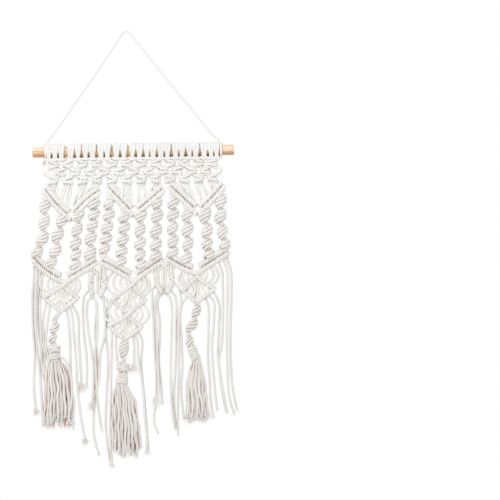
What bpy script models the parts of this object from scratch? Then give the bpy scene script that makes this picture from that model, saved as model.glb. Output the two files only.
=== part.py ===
"""A macrame wall hanging on a wooden dowel, hung by one cord.

Metres, +Z up, front towards -Y. The origin is where the hanging cord rests on its nail.
The tables below are in millimetres, x to the right and z up from that point, and MM turns
them into metres. The hanging is 24 doubled cotton cords: a row of lark's heads on the dowel,
a net of square knots, three double chevrons, twelve spiral sinnets, three more double
chevrons, four diamonds with two small ones between them, loose fringe and three tassels.
"""
import math

import bmesh
import bpy
from mathutils import Matrix, Vector

MM = 0.001
SOLVER = "EXACT"

# ---------------------------------------------------------------- driving dimensions, mm
CORD_RADIUS = 1.9
STRAND_RADIUS = 2.2             # of a three-sided strand that is as wide as the cord
GAP = 0.3                       # between solids that touch
SHEET_Y = -4.0                  # middle of the knotted sheet, just in front of the dowel's middle

DOWEL_RADIUS = 6.5
DOWEL_LENGTH = 252.0
DOWEL_X = 9.0
DOWEL_Z = -149.1
DOWEL_TILT = math.radians(0.75)
DOWEL_CHAMFER = 0.5

HEADS = 24
HEAD_PITCH = 8.96
NET_LEFT = -98.75
NET_RIGHT = NET_LEFT + HEADS * HEAD_PITCH
HEAD_BAR_DROP = 9.9             # the heads' front bar, below the dowel's axis
HEAD_BAR_Y = -7.5
HEAD_ANGLES = (-130, -80, -30, 20, 75)      # round the dowel from its top, front positive
HEAD_HALF_WIDTHS = (3.9, 3.95, 3.95, 3.95, 3.8, 3.2)
HEAD_LIFT = 1.2                 # from the dowel to a head's straight inner faces, at their ends

HANGER_RADIUS = 1.5
HANGER_POINTS = 44
TIE_STEPS = 12
TIE_INNER = 0.94                # size of the turn's second half, whose ends sit inside the first
TIE_KNOT = [(-1.0, 1.6), (0.6, 2.4), (2.0, 2.3), (3.2, 1.2)]            # rise, half width
TIE_TAIL = [(0.5, 1.2, 1.3), (-2.4, -3.5, 1.6), (-3.6, -8.0, 2.4)]      # x, z, half width
# The hanging cord's route, x and z: up from the left tie, over the nail, down to the right one.
HANGER_ROUTE = [
    (-98.8, -138.2), (-95.2, -132.9), (-90.0, -125.6), (-82.5, -115.2), (-70.0, -97.3),
    (-57.5, -79.2), (-45.0, -61.4), (-32.5, -43.0), (-20.0, -24.4), (-9.0, -7.8),
    (-4.6, -1.4), (0.0, 1.5), (4.6, -2.0), (9.5, -7.6), (17.5, -17.6), (30.0, -33.3),
    (42.5, -48.9), (55.0, -64.2), (67.5, -79.4), (80.0, -94.4), (92.5, -109.8),
    (105.0, -125.0), (111.0, -131.0), (116.1, -135.4),
]

# ---------------------------------------------------------------- the net of square knots
# Each row: its drop below the dowel's axis, its knots' half height and half depth, and how many
# knots fewer it has than there are pairs of heads.
NET_ROWS = [
    dict(drop=16.4, half=4.7, depth=4.6, fewer=0),
    dict(drop=25.6, half=5.6, depth=4.3, fewer=1),
    dict(drop=35.6, half=5.6, depth=4.7, fewer=0),
]
KNOT_HALF_WIDTH = 7.3
KNOT_SHOULDER = 0.8             # width at a knot's top and bottom, against its middle
STRAND_OFFSETS = (-5.4, -1.9, 1.9, 5.4)
ROOT_DROP = -4.0                # a strand's root in its knot, from the knot's middle
STRAND_BOW = 0.7
FIRST_FOOT = 0.03               # where a section's strands meet a chevron's arm, as a share of it
FOOT_SPAN = 0.9
EDGE_LOOP_RADIUS = 2.6
EDGE_LOOP_SEAT = 3.0            # how far its ends go into their knots
EDGE_LOOP_OUT = 3.2             # how far the net's edge cords bow out beyond the knots

# ---------------------------------------------------------------- bars of clove hitches
ROW_HALF = 3.5                  # half the height of one row of hitches
BAR_DEPTH = 4.2
VALLEY = 0.80                   # a bar's size between two wraps, against its size on a wrap
DOUBLE_WRAP = 7.0               # one ridge along a double bar
SINGLE_WRAP = 8.0               # and along a single one
MITRE_ROOM = 1.15               # clearance of a bar's rings from its corners
# Each chevron: its outer left end, a point half way, the V, half way up, its outer right end.
UPPER_CHEVRONS = [
    dict(left=(-101.9, -195.0), down=(-87.5, -214.0), v=(-68.5, -231.5),
         up=(-51.5, -212.0), right=(-33.0, -198.0)),
    dict(left=(-22.5, -193.0), down=(-8.5, -208.0), v=(9.5, -226.5),
         up=(30.0, -209.5), right=(46.0, -195.5)),
    dict(left=(55.5, -192.0), down=(71.0, -206.5), v=(89.5, -224.5),
         up=(106.0, -208.5), right=(121.5, -190.5)),
]
LOWER_CHEVRONS = [
    dict(left=(-115.5, -281.5), down=(-99.5, -297.5), v=(-77.0, -310.0),
         up=(-52.5, -295.5), right=(-37.0, -286.5)),
    dict(left=(-31.0, -285.5), down=(-12.5, -294.8), v=(9.0, -308.0),
         up=(30.0, -293.5), right=(45.5, -283.5)),
    dict(left=(51.5, -280.0), down=(67.0, -290.0), v=(88.0, -299.0),
         up=(108.5, -285.5), right=(128.0, -273.5)),
]
# Each diamond of single rows: its four corners, and how many strands fan inside it.
DIAMONDS = [
    dict(top=(-79.0, -317.5), left=(-103.0, -331.5), right=(-60.5, -333.0),
         bottom=(-81.5, -350.0), fan=5),
    dict(top=(7.5, -316.0), left=(-17.5, -335.0), right=(24.0, -336.0),
         bottom=(1.5, -352.5), fan=5),
    dict(top=(1.5, -354.5), left=(-21.5, -367.5), right=(19.5, -370.0),
         bottom=(-2.5, -385.0), fan=3),
    dict(top=(88.0, -307.0), left=(71.0, -323.5), right=(110.5, -321.5),
         bottom=(88.0, -339.5), fan=5),
    dict(top=(-34.0, -301.0), left=(-48.0, -312.0), right=(-22.0, -313.0),
         bottom=(-34.5, -330.5), fan=0),
    dict(top=(48.5, -292.5), left=(33.0, -313.5), right=(61.5, -314.0),
         bottom=(48.0, -327.0), fan=0),
]
FAN_START = 0.2                 # where a fan's first strand meets the bars, as a share of them
FAN_BOW = 8.0
# Cords that bow from one bar to the next: start, outermost point, end.
LOOPS = [
    dict(start=(-97.0, -301.0), bow=(-100.8, -316.0), end=(-97.0, -329.0)),
    dict(start=(-69.0, -306.0), bow=(-63.5, -313.0), end=(-68.0, -324.0)),
    dict(start=(-58.5, -301.0), bow=(-57.0, -314.0), end=(-63.0, -330.0)),
    dict(start=(-21.0, -295.0), bow=(-19.5, -314.0), end=(-13.0, -332.0)),
    dict(start=(-14.0, -297.0), bow=(-10.5, -309.0), end=(-6.0, -325.0)),
    dict(start=(23.0, -300.0), bow=(27.0, -313.0), end=(19.0, -330.0)),
    dict(start=(-17.0, -337.0), bow=(-18.5, -351.0), end=(-10.0, -362.0)),
    dict(start=(22.0, -337.0), bow=(27.5, -352.0), end=(17.0, -366.5)),
    dict(start=(68.5, -291.0), bow=(69.5, -305.0), end=(76.5, -317.5)),
    dict(start=(107.5, -288.0), bow=(112.5, -300.0), end=(107.0, -317.0)),
    dict(start=(-46.5, -293.0), bow=(-49.5, -303.0), end=(-46.0, -312.0)),
    dict(start=(-21.0, -292.0), bow=(-20.0, -304.0), end=(-23.0, -314.0)),
    dict(start=(37.5, -290.0), bow=(33.5, -302.0), end=(34.0, -312.5)),
    dict(start=(57.0, -288.0), bow=(60.5, -301.0), end=(60.5, -313.0)),
]

# ---------------------------------------------------------------- spiral sinnets
SINNET_HALF_WIDTH = 7.0
SINNET_HALF_DEPTH = 4.8
SINNET_SEAT = 2.0               # how far a sinnet stops short of its bars' middle lines
SINNET_STEPS = 3                # rings to each half turn
NECK = 0.86                     # a sinnet's size between two bobbles
SINNET_TIP = 0.5                # and where it goes into a bar
# Each sinnet: x where it leaves the upper bar, half way down and where it enters the lower bar,
# and how many half turns show as bobbles.
SINNETS = [
    dict(top=-100.4, half=-103.1, bottom=-112.0, bobbles=4),
    dict(top=-80.0, half=-86.3, bottom=-95.5, bobbles=4),
    dict(top=-58.8, half=-61.9, bottom=-64.4, bobbles=5),
    dict(top=-40.0, half=-43.1, bottom=-45.0, bobbles=6),
    dict(top=-20.5, half=-23.8, bottom=-25.5, bobbles=6),
    dict(top=-2.5, half=-3.8, bottom=-6.3, bobbles=5),
    dict(top=18.8, half=17.5, bottom=18.1, bobbles=5),
    dict(top=39.0, half=38.1, bottom=37.5, bobbles=6),
    dict(top=59.5, half=58.8, bottom=58.8, bobbles=6),
    dict(top=76.5, half=76.9, bottom=75.6, bobbles=5),
    dict(top=99.5, half=101.3, bottom=103.8, bobbles=5),
    dict(top=117.5, half=119.4, bottom=124.0, bobbles=5),
]

# ---------------------------------------------------------------- loose fringe
STRIP_RADIUS = 1.3
STRIP_REACH = 1.5               # past its outermost strands
ROOT_SEAT = 0.8                 # how far down its strip a strand starts
LEVEL_BELOW_ROOT = 14.0         # a strand keeps a middle point this far below its root
LEVEL_ABOVE_END = 6.0           # and this far above its end
LONG_DROP = 24.0                # a strand with a longer first stretch gets a shoulder
SHOULDER_DROP = 9.0
SHOULDER_SHARE = 0.7            # how much of the way out the strand has gone at its shoulder
FRINGE_LEVELS = (-372.0, -410.0, -448.0)    # heights of a strand's middle x values
# Each strip hangs under one side of a bar, or under both. A strand: x at its root, x at the
# levels that it passes, where it ends, and how far it stands out from the sheet.
FRINGES = [
    dict(name="fringe_left", bar="lower_chevron_0", side="left", strands=[
        dict(root=-114.0, at=(-116.5, -116.0, -116.0), end=(-113.0, -474.0), out=0.0),
        dict(root=-110.3, at=(-112.4, -111.8, -111.5), end=(-107.5, -489.0), out=1.5),
        dict(root=-106.8, at=(-108.4, -107.6), end=(-107.0, -446.0), out=-1.5),
    ]),
    dict(name="fringe_left_bar", bar="diamond_0", side="left", strands=[
        dict(root=-99.5, at=(-102.8,), end=(-102.6, -402.0), out=0.0),
        dict(root=-95.0, at=(-98.6,), end=(-99.3, -391.0), out=0.0),
    ]),
    dict(name="fringe_left_middle", bar="diamond_0", side="right", strands=[
        dict(root=-72.5, at=(-70.0, -68.5, -64.5), end=(-64.0, -495.0), out=0.0),
        dict(root=-68.0, at=(-65.6, -62.5, -59.0), end=(-52.0, -508.0), out=1.0),
        dict(root=-63.5, at=(-59.2, -57.5), end=(-54.6, -442.0), out=-1.0),
    ]),
    dict(name="fringe_middle_left", bar="diamond_4", side="both", strands=[
        dict(root=-46.0, at=(-53.0, -49.0), end=(-49.0, -442.0), out=-1.0),
        dict(root=-42.5, at=(-47.0, -42.0, -43.2), end=(-44.0, -466.0), out=1.0),
        dict(root=-35.5, at=(-39.5, -36.6, -38.0), end=(-34.0, -528.0), out=-1.0),
        dict(root=-29.5, at=(-33.2, -31.2, -33.0), end=(-29.0, -498.0), out=1.0),
        dict(root=-25.5, at=(-28.6, -24.5, -25.0), end=(-22.6, -541.0), out=-1.0),
    ]),
    dict(name="fringe_middle", bar="diamond_2", side="left", strands=[
        dict(root=-18.5, at=(-18.6, -18.1, -19.4), end=(-17.5, -543.0), out=0.0),
        dict(root=-14.0, at=(-14.0,), end=(-14.0, -400.0), out=0.0),
    ]),
    dict(name="fringe_middle_right", bar="diamond_2", side="right", strands=[
        dict(root=8.5, at=(9.6, 9.6), end=(9.5, -417.0), out=0.0),
        dict(root=13.0, at=(14.4, 15.5, 21.5), end=(24.5, -525.0), out=1.0),
        dict(root=17.0, at=(19.4, 20.3, 26.0), end=(29.0, -526.0), out=-1.0),
    ]),
    dict(name="fringe_right_middle", bar="diamond_5", side="both", strands=[
        dict(root=34.8, at=(34.0, 36.0, 36.5), end=(36.8, -459.0), out=1.0),
        dict(root=38.5, at=(38.5, 40.3, 40.6), end=(40.5, -500.0), out=-1.0),
        dict(root=42.5, at=(42.9, 44.5, 44.8), end=(45.5, -464.0), out=1.0),
        dict(root=52.0, at=(56.0, 56.0, 56.6), end=(58.5, -495.0), out=-1.0),
        dict(root=56.0, at=(60.5, 60.5, 60.8), end=(62.5, -495.0), out=1.0),
        dict(root=59.6, at=(64.8, 64.6, 64.8), end=(66.5, -503.0), out=-1.0),
    ]),
    dict(name="fringe_right_bar", bar="diamond_3", side="left", strands=[
        dict(root=76.0, at=(69.3, 69.2, 69.0), end=(71.0, -483.0), out=0.0),
    ]),
    dict(name="fringe_right", bar="diamond_3", side="right", strands=[
        dict(root=99.5, at=(103.0, 102.8, 105.8), end=(109.4, -482.0), out=0.0),
        dict(root=104.0, at=(108.5, 108.0, 111.0), end=(113.8, -473.0), out=1.0),
        dict(root=108.0, at=(115.0, 113.6, 116.6), end=(121.0, -474.0), out=-1.0),
    ]),
    dict(name="fringe_right_edge", bar="lower_chevron_2", side="right", strands=[
        dict(root=117.5, at=(121.0, 119.0, 122.0), end=(127.0, -474.0), out=0.0),
        dict(root=122.0, at=(126.3, 126.6, 128.8), end=(134.5, -477.0), out=1.0),
        dict(root=126.0, at=(131.0, 131.8, 134.0), end=(139.5, -473.0), out=-1.0),
    ]),
]

# ---------------------------------------------------------------- tassels
SKIRT_STRANDS = 12
STALK_TOP = 3.0                 # half width of a stalk under its diamond
STALK_FLATNESS = 0.8            # a stalk's depth against its width
STALK_TWIST = math.pi / 6       # from one of its sections to the next
SKIRT_FLATNESS = 0.62           # a skirt's depth against its width
SKIRT_TOP = [(3.0, 0.6), (-6.0, 0.9)]       # rise from the neck, width against the neck's
UNEVEN_TURN = 2.6               # from one strand's end to the next, for a skirt's uneven ends
# Each tassel: the diamond that it hangs from, its stalk and wrap as (x, z, half width), then its
# skirt as (x, z, half width) where it is widest and at its ends, and how uneven the ends are.
TASSELS = [
    dict(name="tassel_left", diamond=0,
         stalk=[(-87.0, -360.0, 4.0), (-89.5, -370.4, 6.2), (-91.0, -377.0, 4.2),
                (-91.5, -383.5, 6.0), (-91.0, -389.0, 4.6), (-90.0, -394.0, 6.2),
                (-90.3, -400.0, 5.6), (-90.0, -403.5, 7.6), (-90.0, -408.0, 7.2)],
         wide=(-84.5, -440.0, 15.5), ends=(-84.5, -489.0, 16.5), uneven=10.0),
    dict(name="tassel_middle", diamond=2,
         stalk=[(-2.5, -391.0, 4.4), (-2.5, -398.0, 7.2), (-2.5, -405.0, 6.0),
                (-2.5, -411.0, 4.0), (-2.5, -417.0, 6.6), (-2.5, -424.0, 7.4),
                (-3.0, -429.5, 5.4), (-3.6, -433.0, 7.8), (-3.8, -438.5, 7.2)],
         wide=(-0.5, -475.0, 14.5), ends=(2.0, -533.0, 15.0), uneven=10.0),
    dict(name="tassel_right", diamond=3,
         stalk=[(88.0, -347.0, 4.2), (87.5, -353.0, 6.6), (84.5, -360.0, 4.4),
                (82.5, -366.7, 6.2), (79.5, -375.0, 4.6), (78.0, -382.9, 5.6),
                (79.5, -390.0, 5.0), (82.0, -395.0, 6.2), (85.5, -406.0, 6.0)],
         wide=(87.0, -440.0, 11.0), ends=(89.0, -484.0, 11.5), uneven=5.0),
]

# ---------------------------------------------------------------- materials
COTTON = dict(name="cotton", colour=(0.80, 0.76, 0.69), roughness=0.92)
WOOD = dict(name="pale_wood", colour=(0.72, 0.47, 0.25), roughness=0.55)


# ---------------------------------------------------------------- points and outlines
def spot(x, z, y=SHEET_Y):
    """A point of the sheet, in metres."""
    return Vector((x, y, z)) * MM


def dowel_z(x):
    """Height of the dowel's axis at x."""
    return DOWEL_Z + (x - DOWEL_X) * math.tan(DOWEL_TILT)


def curve_point(points, t):
    """The point at t, from 0 to 1, on a smooth curve through the points."""
    last = len(points) - 1
    i = min(int(t * last), last - 1)
    u = t * last - i
    a, b, c, d = (points[min(max(k, 0), last)] for k in (i - 1, i, i + 1, i + 2))
    return 0.5 * ((2 * b) + (c - a) * u + (2 * a - 5 * b + 4 * c - d) * u * u
                  + (3 * b - a - 3 * c + d) * u ** 3)


def spread(points, count, fine_steps=400):
    """count points evenly along the smooth curve through the points."""
    fine = [curve_point(points, k / fine_steps) for k in range(fine_steps + 1)]
    along = [0.0]
    for a, b in zip(fine, fine[1:]):
        along.append(along[-1] + (b - a).length)
    found, k = [], 0
    for n in range(count):
        want = along[-1] * n / (count - 1)
        while k < fine_steps - 1 and along[k + 1] < want:
            k += 1
        share = (want - along[k]) / (along[k + 1] - along[k])
        found.append(fine[k].lerp(fine[k + 1], min(max(share, 0.0), 1.0)))
    return found


def oval(sides, start=0.5):
    """An outline of unit size with that many corners."""
    turn = 2 * math.pi / sides
    return [(math.cos((k + start) * turn), math.sin((k + start) * turn)) for k in range(sides)]


TWO_ROWS = [(-1.0, 0.2), (-0.55, -1.0), (0.0, -0.4), (0.55, -1.0), (1.0, 0.2), (0.0, 0.9)]
ONE_ROW = oval(4, 0.0)
KNOT_OUTLINE = [(-1.0, -0.9), (1.0, -0.9), (1.0, 0.9), (-1.0, 0.9)]
THREE_SIDES = oval(3)
HEAD_OUTLINE = [(-1.0, -1.0), (-0.8, 1.0), (0.8, 1.0), (1.0, -1.0)]


# ---------------------------------------------------------------- meshes
def loft(path, wide, deep, outline, turns=None, back=(0.0, 1.0, 0.0)):
    """A closed body along a path: the outline at each point, sized wide and deep in mm.

    back is the way that the outline's depth faces, and turns twists it about the path.
    """
    last = len(path) - 1
    bm = bmesh.new()
    rings = []
    for i, centre in enumerate(path):
        ahead = path[min(i + 1, last)] - path[min(i, last - 1)]
        behind = path[max(i, 1)] - path[max(i - 1, 0)]
        along = (ahead.normalized() + behind.normalized()).normalized()
        side = along.cross(Vector(back)).normalized()
        depth = side.cross(along)
        if turns:
            spin = Matrix.Rotation(turns[i], 3, along)
            side, depth = spin @ side, spin @ depth
        rings.append([bm.verts.new(centre + (side * u * wide[i] + depth * v * deep[i]) * MM)
                      for u, v in outline])
    for a, b in zip(rings, rings[1:]):
        for k in range(len(outline)):
            n = (k + 1) % len(outline)
            bm.faces.new((a[k], a[n], b[n], b[k]))
    bm.faces.new(rings[0])
    bm.faces.new(rings[-1])
    bmesh.ops.recalc_face_normals(bm, faces=bm.faces)
    mesh = bpy.data.meshes.new("loft")
    bm.to_mesh(mesh)
    bm.free()
    return mesh


def strand(points, count, radius=STRAND_RADIUS):
    """A plain three-sided cord through the points."""
    return loft(spread(points, count), [radius] * count, [radius] * count, THREE_SIDES)


def corners(bar, *names):
    """A bar's corners, by their columns in its table."""
    return [spot(*bar[name]) for name in names]


def ridged_bar(ends, half, depth, outline, wrap):
    """A bar of clove hitches through its corners, thicker on each wrap and mitred at a corner."""
    path, sizes, mitres = [ends[0]], [VALLEY], [1.0]
    for i in range(1, len(ends)):
        a, b = ends[i - 1], ends[i]
        steps = 2 * max(1, round((b - a).length / MM / wrap))
        clear_a, clear_b = (turn_room(ends, k, half) for k in (i - 1, i))
        for k in range(1, steps):
            point = a.lerp(b, k / steps)
            if (point - a).length > clear_a and (b - point).length > clear_b:
                path.append(point)
                sizes.append(1.0 if k % 2 else VALLEY)
                mitres.append(1.0)
        path.append(b)
        sizes.append(VALLEY)
        mitres.append(1.0 / math.cos(half_turn(ends, i)))
    wide = [half * size * mitre for size, mitre in zip(sizes, mitres)]
    return loft(path, wide, [depth * size for size in sizes], outline)


def half_turn(ends, i):
    """Half the angle by which a path turns at one of its corners, and 0 at its ends."""
    if i in (0, len(ends) - 1):
        return 0.0
    return (ends[i] - ends[i - 1]).angle(ends[i + 1] - ends[i]) / 2


def turn_room(ends, i, half):
    """How far from a corner the next ring of a bar has to be, so that the two don't cross."""
    return MITRE_ROOM * half * MM * math.tan(half_turn(ends, i))


def at_x(path, x):
    """The path's point at x, or its nearest end."""
    for a, b in zip(path, path[1:]):
        if min(a.x, b.x) <= x * MM <= max(a.x, b.x) and a.x != b.x:
            return a.lerp(b, (x * MM - a.x) / (b.x - a.x))
    return min(path, key=lambda p: abs(p.x - x * MM)).copy()


def along(path, share):
    """The point that share of the way along a path of straight stretches."""
    lengths = [(b - a).length for a, b in zip(path, path[1:])]
    left = share * sum(lengths)
    for a, b, length in zip(path, path[1:], lengths):
        if left <= length:
            return a.lerp(b, left / length)
        left -= length
    return path[-1].copy()


def below(path, distance):
    """A path at that distance in mm under another, which runs from left to right."""
    normals = []
    for a, b in zip(path, path[1:]):
        way = (b - a).normalized()
        normals.append(Vector((way.z, 0.0, -way.x)))
    found = []
    for i, point in enumerate(path):
        before, after = normals[max(i - 1, 0)], normals[min(i, len(normals) - 1)]
        mitre = (before + after).normalized()
        found.append(point + mitre * distance * MM / mitre.dot(after))
    return found


# ---------------------------------------------------------------- objects
def new_collection(name):
    made = bpy.data.collections.new(name)
    bpy.context.scene.collection.children.link(made)
    return made


def new_material(spec):
    made = bpy.data.materials.new(spec["name"])
    made.use_nodes = True
    shader = made.node_tree.nodes["Principled BSDF"]
    shader.inputs["Base Color"].default_value = (*spec["colour"], 1.0)
    shader.inputs["Roughness"].default_value = spec["roughness"]
    shader.inputs["Metallic"].default_value = 0.0
    return made


def fuse(name, meshes, look, home):
    """One named solid from overlapping meshes."""
    pieces = new_collection(name + "_pieces")
    for i, mesh in enumerate(meshes[1:]):
        pieces.objects.link(bpy.data.objects.new(f"{name}_{i}", mesh))
    first = bpy.data.objects.new(name + "_first", meshes[0])
    bpy.context.scene.collection.objects.link(first)
    union = first.modifiers.new("Union", "BOOLEAN")
    union.operation = "UNION"
    union.operand_type = "COLLECTION"
    union.collection = pieces
    union.solver = SOLVER
    seen = first.evaluated_get(bpy.context.evaluated_depsgraph_get())
    fused = bpy.data.meshes.new_from_object(seen)
    for piece in [*pieces.objects, first]:
        bpy.data.objects.remove(piece)
    bpy.data.collections.remove(pieces)
    fused.name = name
    fused.materials.clear()
    fused.materials.append(look)
    home.objects.link(bpy.data.objects.new(name, fused))


# ---------------------------------------------------------------- dowel and hanging cord
def make_dowel(look, home):
    bpy.ops.mesh.primitive_cylinder_add(vertices=24, radius=DOWEL_RADIUS * MM,
                                        depth=DOWEL_LENGTH * MM)
    dowel = bpy.context.object
    dowel.name = "dowel"
    dowel.location = spot(DOWEL_X, DOWEL_Z, 0.0)
    dowel.rotation_euler = (0.0, math.pi / 2 - DOWEL_TILT, 0.0)
    dowel.data.materials.append(look)
    edge = dowel.modifiers.new("Chamfer", "BEVEL")
    edge.width = DOWEL_CHAMFER * MM
    edge.segments = 1
    edge.limit_method = "ANGLE"
    edge.angle_limit = math.radians(60)
    for other in list(dowel.users_collection):
        other.objects.unlink(dowel)
    home.objects.link(dowel)


def make_hanger(look, home):
    line = bpy.data.curves.new("hanger_cord", "CURVE")
    line.dimensions = "3D"
    line.bevel_depth = HANGER_RADIUS * MM
    line.bevel_resolution = 2
    line.use_fill_caps = True
    points = spread([spot(x, z, 0.0) for x, z in HANGER_ROUTE], HANGER_POINTS)
    spline = line.splines.new("POLY")
    spline.points.add(len(points) - 1)
    for end, point in zip(spline.points, points):
        end.co = (*point, 1.0)
    line.materials.append(look)
    home.objects.link(bpy.data.objects.new("hanger_cord", line))


def make_tie(name, x, tail, look, home):
    """The hanging cord's turn round the dowel, its knot on top, and its tail if it has one."""
    ring = DOWEL_RADIUS + 2 * GAP + HANGER_RADIUS
    z = dowel_z(x)
    around = [spot(x, z + ring * math.cos(a), ring * math.sin(a))
              for a in (2 * math.pi * k / TIE_STEPS for k in range(TIE_STEPS + 2))]
    half = TIE_STEPS // 2
    pieces = []
    for piece, size in ((around[:half + 2], 1.0), (around[half:], TIE_INNER)):
        sizes = [HANGER_RADIUS * size] * len(piece)
        pieces.append(loft(piece, sizes, sizes, oval(6), back=(1.0, 0.0, 0.0)))
    knot = [spot(x, z + ring + rise, 0.0) for rise, _ in TIE_KNOT]
    sizes = [size for _, size in TIE_KNOT]
    pieces.append(loft(knot, sizes, sizes, oval(6, 0.25)))
    if tail:
        path = [spot(x + dx, z - ring + dz, 0.0) for dx, dz, _ in TIE_TAIL]
        sizes = [size for _, _, size in TIE_TAIL]
        pieces.append(loft(path, sizes, sizes, oval(6, 0.25)))
    fuse(name, pieces, look, home)


# ---------------------------------------------------------------- the knotted sheet
def head_loop(x):
    """The two strands of one lark's head, from behind the dowel over it and down its front."""
    ring = DOWEL_RADIUS + HEAD_LIFT + CORD_RADIUS
    z = dowel_z(x)
    path = [spot(x, z + ring * math.cos(a), -ring * math.sin(a))
            for a in (math.radians(degrees) for degrees in HEAD_ANGLES)]
    path.append(spot(x, z - HEAD_BAR_DROP + 1.0, HEAD_BAR_Y))
    return loft(path, HEAD_HALF_WIDTHS, [CORD_RADIUS] * len(path), HEAD_OUTLINE,
                turns=[math.pi / 2] * len(path), back=(1.0, 0.0, 0.0))


def make_heads(look, home):
    """The row of lark's heads, fused by the loops across their fronts."""
    pieces = [head_loop(NET_LEFT + (i + 0.5) * HEAD_PITCH) for i in range(HEADS)]
    ends = [spot(x, dowel_z(x) - HEAD_BAR_DROP, HEAD_BAR_Y) for x in (NET_LEFT, NET_RIGHT)]
    steps = 2 * HEADS
    path = [ends[0].lerp(ends[1], k / steps) for k in range(steps + 1)]
    sizes = [CORD_RADIUS if k % 2 else CORD_RADIUS * VALLEY for k in range(steps + 1)]
    pieces.append(loft(path, sizes, sizes, oval(4)))
    fuse("larks_heads", pieces, look, home)


def knot_centres(row):
    """Middle of each square knot in a row of the net."""
    found = []
    for k in range(HEADS // 2 - row["fewer"]):
        x = NET_LEFT + (2 * k + 1 + row["fewer"]) * HEAD_PITCH
        found.append(spot(x, dowel_z(x) - row["drop"]))
    return found


def net():
    """The alternating square knots, and the cords that bow out at both edges."""
    pieces = []
    for row in NET_ROWS:
        up = Vector((0.0, 0.0, row["half"] * MM))
        wide = [KNOT_HALF_WIDTH * share for share in (KNOT_SHOULDER, 1.0, KNOT_SHOULDER)]
        for centre in knot_centres(row):
            deep = [row["depth"] * share for share in (KNOT_SHOULDER, 1.0, KNOT_SHOULDER)]
            pieces.append(loft([centre + up, centre, centre - up], wide, deep, KNOT_OUTLINE))
    first, middle, last = (knot_centres(row) for row in NET_ROWS)
    for side, end in ((-1.0, 0), (1.0, -1)):
        inside = Vector((side * (KNOT_HALF_WIDTH - EDGE_LOOP_SEAT) * MM, 0.0, 0.0))
        outside = Vector((side * (KNOT_HALF_WIDTH + EDGE_LOOP_OUT) * MM, 0.0, 0.0))
        half_way = first[end].lerp(last[end], 0.5)
        pieces.append(strand([first[end] + inside, half_way + outside, last[end] + inside], 5,
                             EDGE_LOOP_RADIUS))
    return pieces


def strands_to_bars():
    """The strands from the net's last row down to the upper chevrons."""
    knots = knot_centres(NET_ROWS[-1])
    each = len(knots) * len(STRAND_OFFSETS) // len(UPPER_CHEVRONS)
    pieces = []
    for c, chevron in enumerate(UPPER_CHEVRONS):
        arms = (corners(chevron, "left", "down", "v"), corners(chevron, "right", "up", "v"))
        for j in range(each):
            n = c * each + j
            knot = knots[n // len(STRAND_OFFSETS)]
            root = knot + spot(STRAND_OFFSETS[n % len(STRAND_OFFSETS)], ROOT_DROP, 0.0)
            right = j >= each // 2
            share = (each - 1 - j if right else j) / (each / 2 - 0.5)
            foot = along(arms[right], FIRST_FOOT + FOOT_SPAN * share)
            bow = Vector((STRAND_BOW * MM * (1 if j % 2 else -1), 0.0, 0.0))
            pieces.append(strand([root, root.lerp(foot, 0.5) + bow, foot], 3))
    return pieces


def double_bars():
    """The chevrons, each of two rows of double clove hitches."""
    return [ridged_bar(corners(chevron, "left", "down", "v", "up", "right"), 2 * ROW_HALF,
                       BAR_DEPTH, TWO_ROWS, DOUBLE_WRAP)
            for chevron in UPPER_CHEVRONS + LOWER_CHEVRONS]


def diamonds():
    """The diamonds of single rows, with the strands that fan inside them."""
    pieces = []
    for diamond in DIAMONDS:
        roof = corners(diamond, "left", "top", "right")
        floor = corners(diamond, "left", "bottom", "right")
        for half in (roof, floor):
            pieces.append(ridged_bar(half, ROW_HALF, BAR_DEPTH, ONE_ROW, SINGLE_WRAP))
        for j in range(diamond["fan"]):
            share = FAN_START + (1 - 2 * FAN_START) * j / (diamond["fan"] - 1)
            top, foot = along(roof, share), along(floor, share)
            bow = Vector(((share - 0.5) * FAN_BOW * MM, 0.0, 0.0))
            pieces.append(strand([top, top.lerp(foot, 0.5) + bow, foot], 3))
    return pieces


def sinnet(spiral, index):
    """One spiral of half knots, a flat braid that turns half round at each bobble."""
    section = index * len(UPPER_CHEVRONS) // len(SINNETS)
    upper, lower = UPPER_CHEVRONS[section], LOWER_CHEVRONS[section]
    names = ("left", "down", "v", "up", "right")
    top = at_x(corners(upper, *names), spiral["top"]) - Vector((0.0, 0.0, SINNET_SEAT * MM))
    foot = at_x(corners(lower, *names), spiral["bottom"]) + Vector((0.0, 0.0, SINNET_SEAT * MM))
    half_way = spot(spiral["half"], 0.0)
    half_way.z = (top.z + foot.z) / 2
    steps = SINNET_STEPS * spiral["bobbles"]
    path = spread([top, half_way, foot], steps + 1)
    turns = [math.pi * (k / SINNET_STEPS - 0.5) for k in range(steps + 1)]
    necks = [NECK if k % SINNET_STEPS == 0 else 1.0 for k in range(steps + 1)]
    necks[0] = necks[-1] = SINNET_TIP
    return loft(path, [SINNET_HALF_WIDTH * n for n in necks],
                [SINNET_HALF_DEPTH * n for n in necks], oval(4, 0.0), turns)


def make_panel(look, home):
    pieces = net() + strands_to_bars() + double_bars() + diamonds()
    pieces += [sinnet(spiral, i) for i, spiral in enumerate(SINNETS)]
    pieces += [strand(corners(loop, "start", "bow", "end"), 5) for loop in LOOPS]
    fuse("macrame_panel", pieces, look, home)


# ---------------------------------------------------------------- fringe and tassels
def bar_above(fringe):
    """The corners of the bar that a fringe hangs under, left to right, and its half height."""
    kind, _, number = fringe["bar"].rpartition("_")
    if kind == "lower_chevron":
        names = dict(left=("left", "down"), right=("up", "right"))[fringe["side"]]
        return corners(LOWER_CHEVRONS[int(number)], *names), 2 * ROW_HALF
    names = dict(left=("left", "bottom"), right=("bottom", "right"),
                 both=("left", "bottom", "right"))[fringe["side"]]
    return corners(DIAMONDS[int(number)], *names), ROW_HALF


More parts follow.
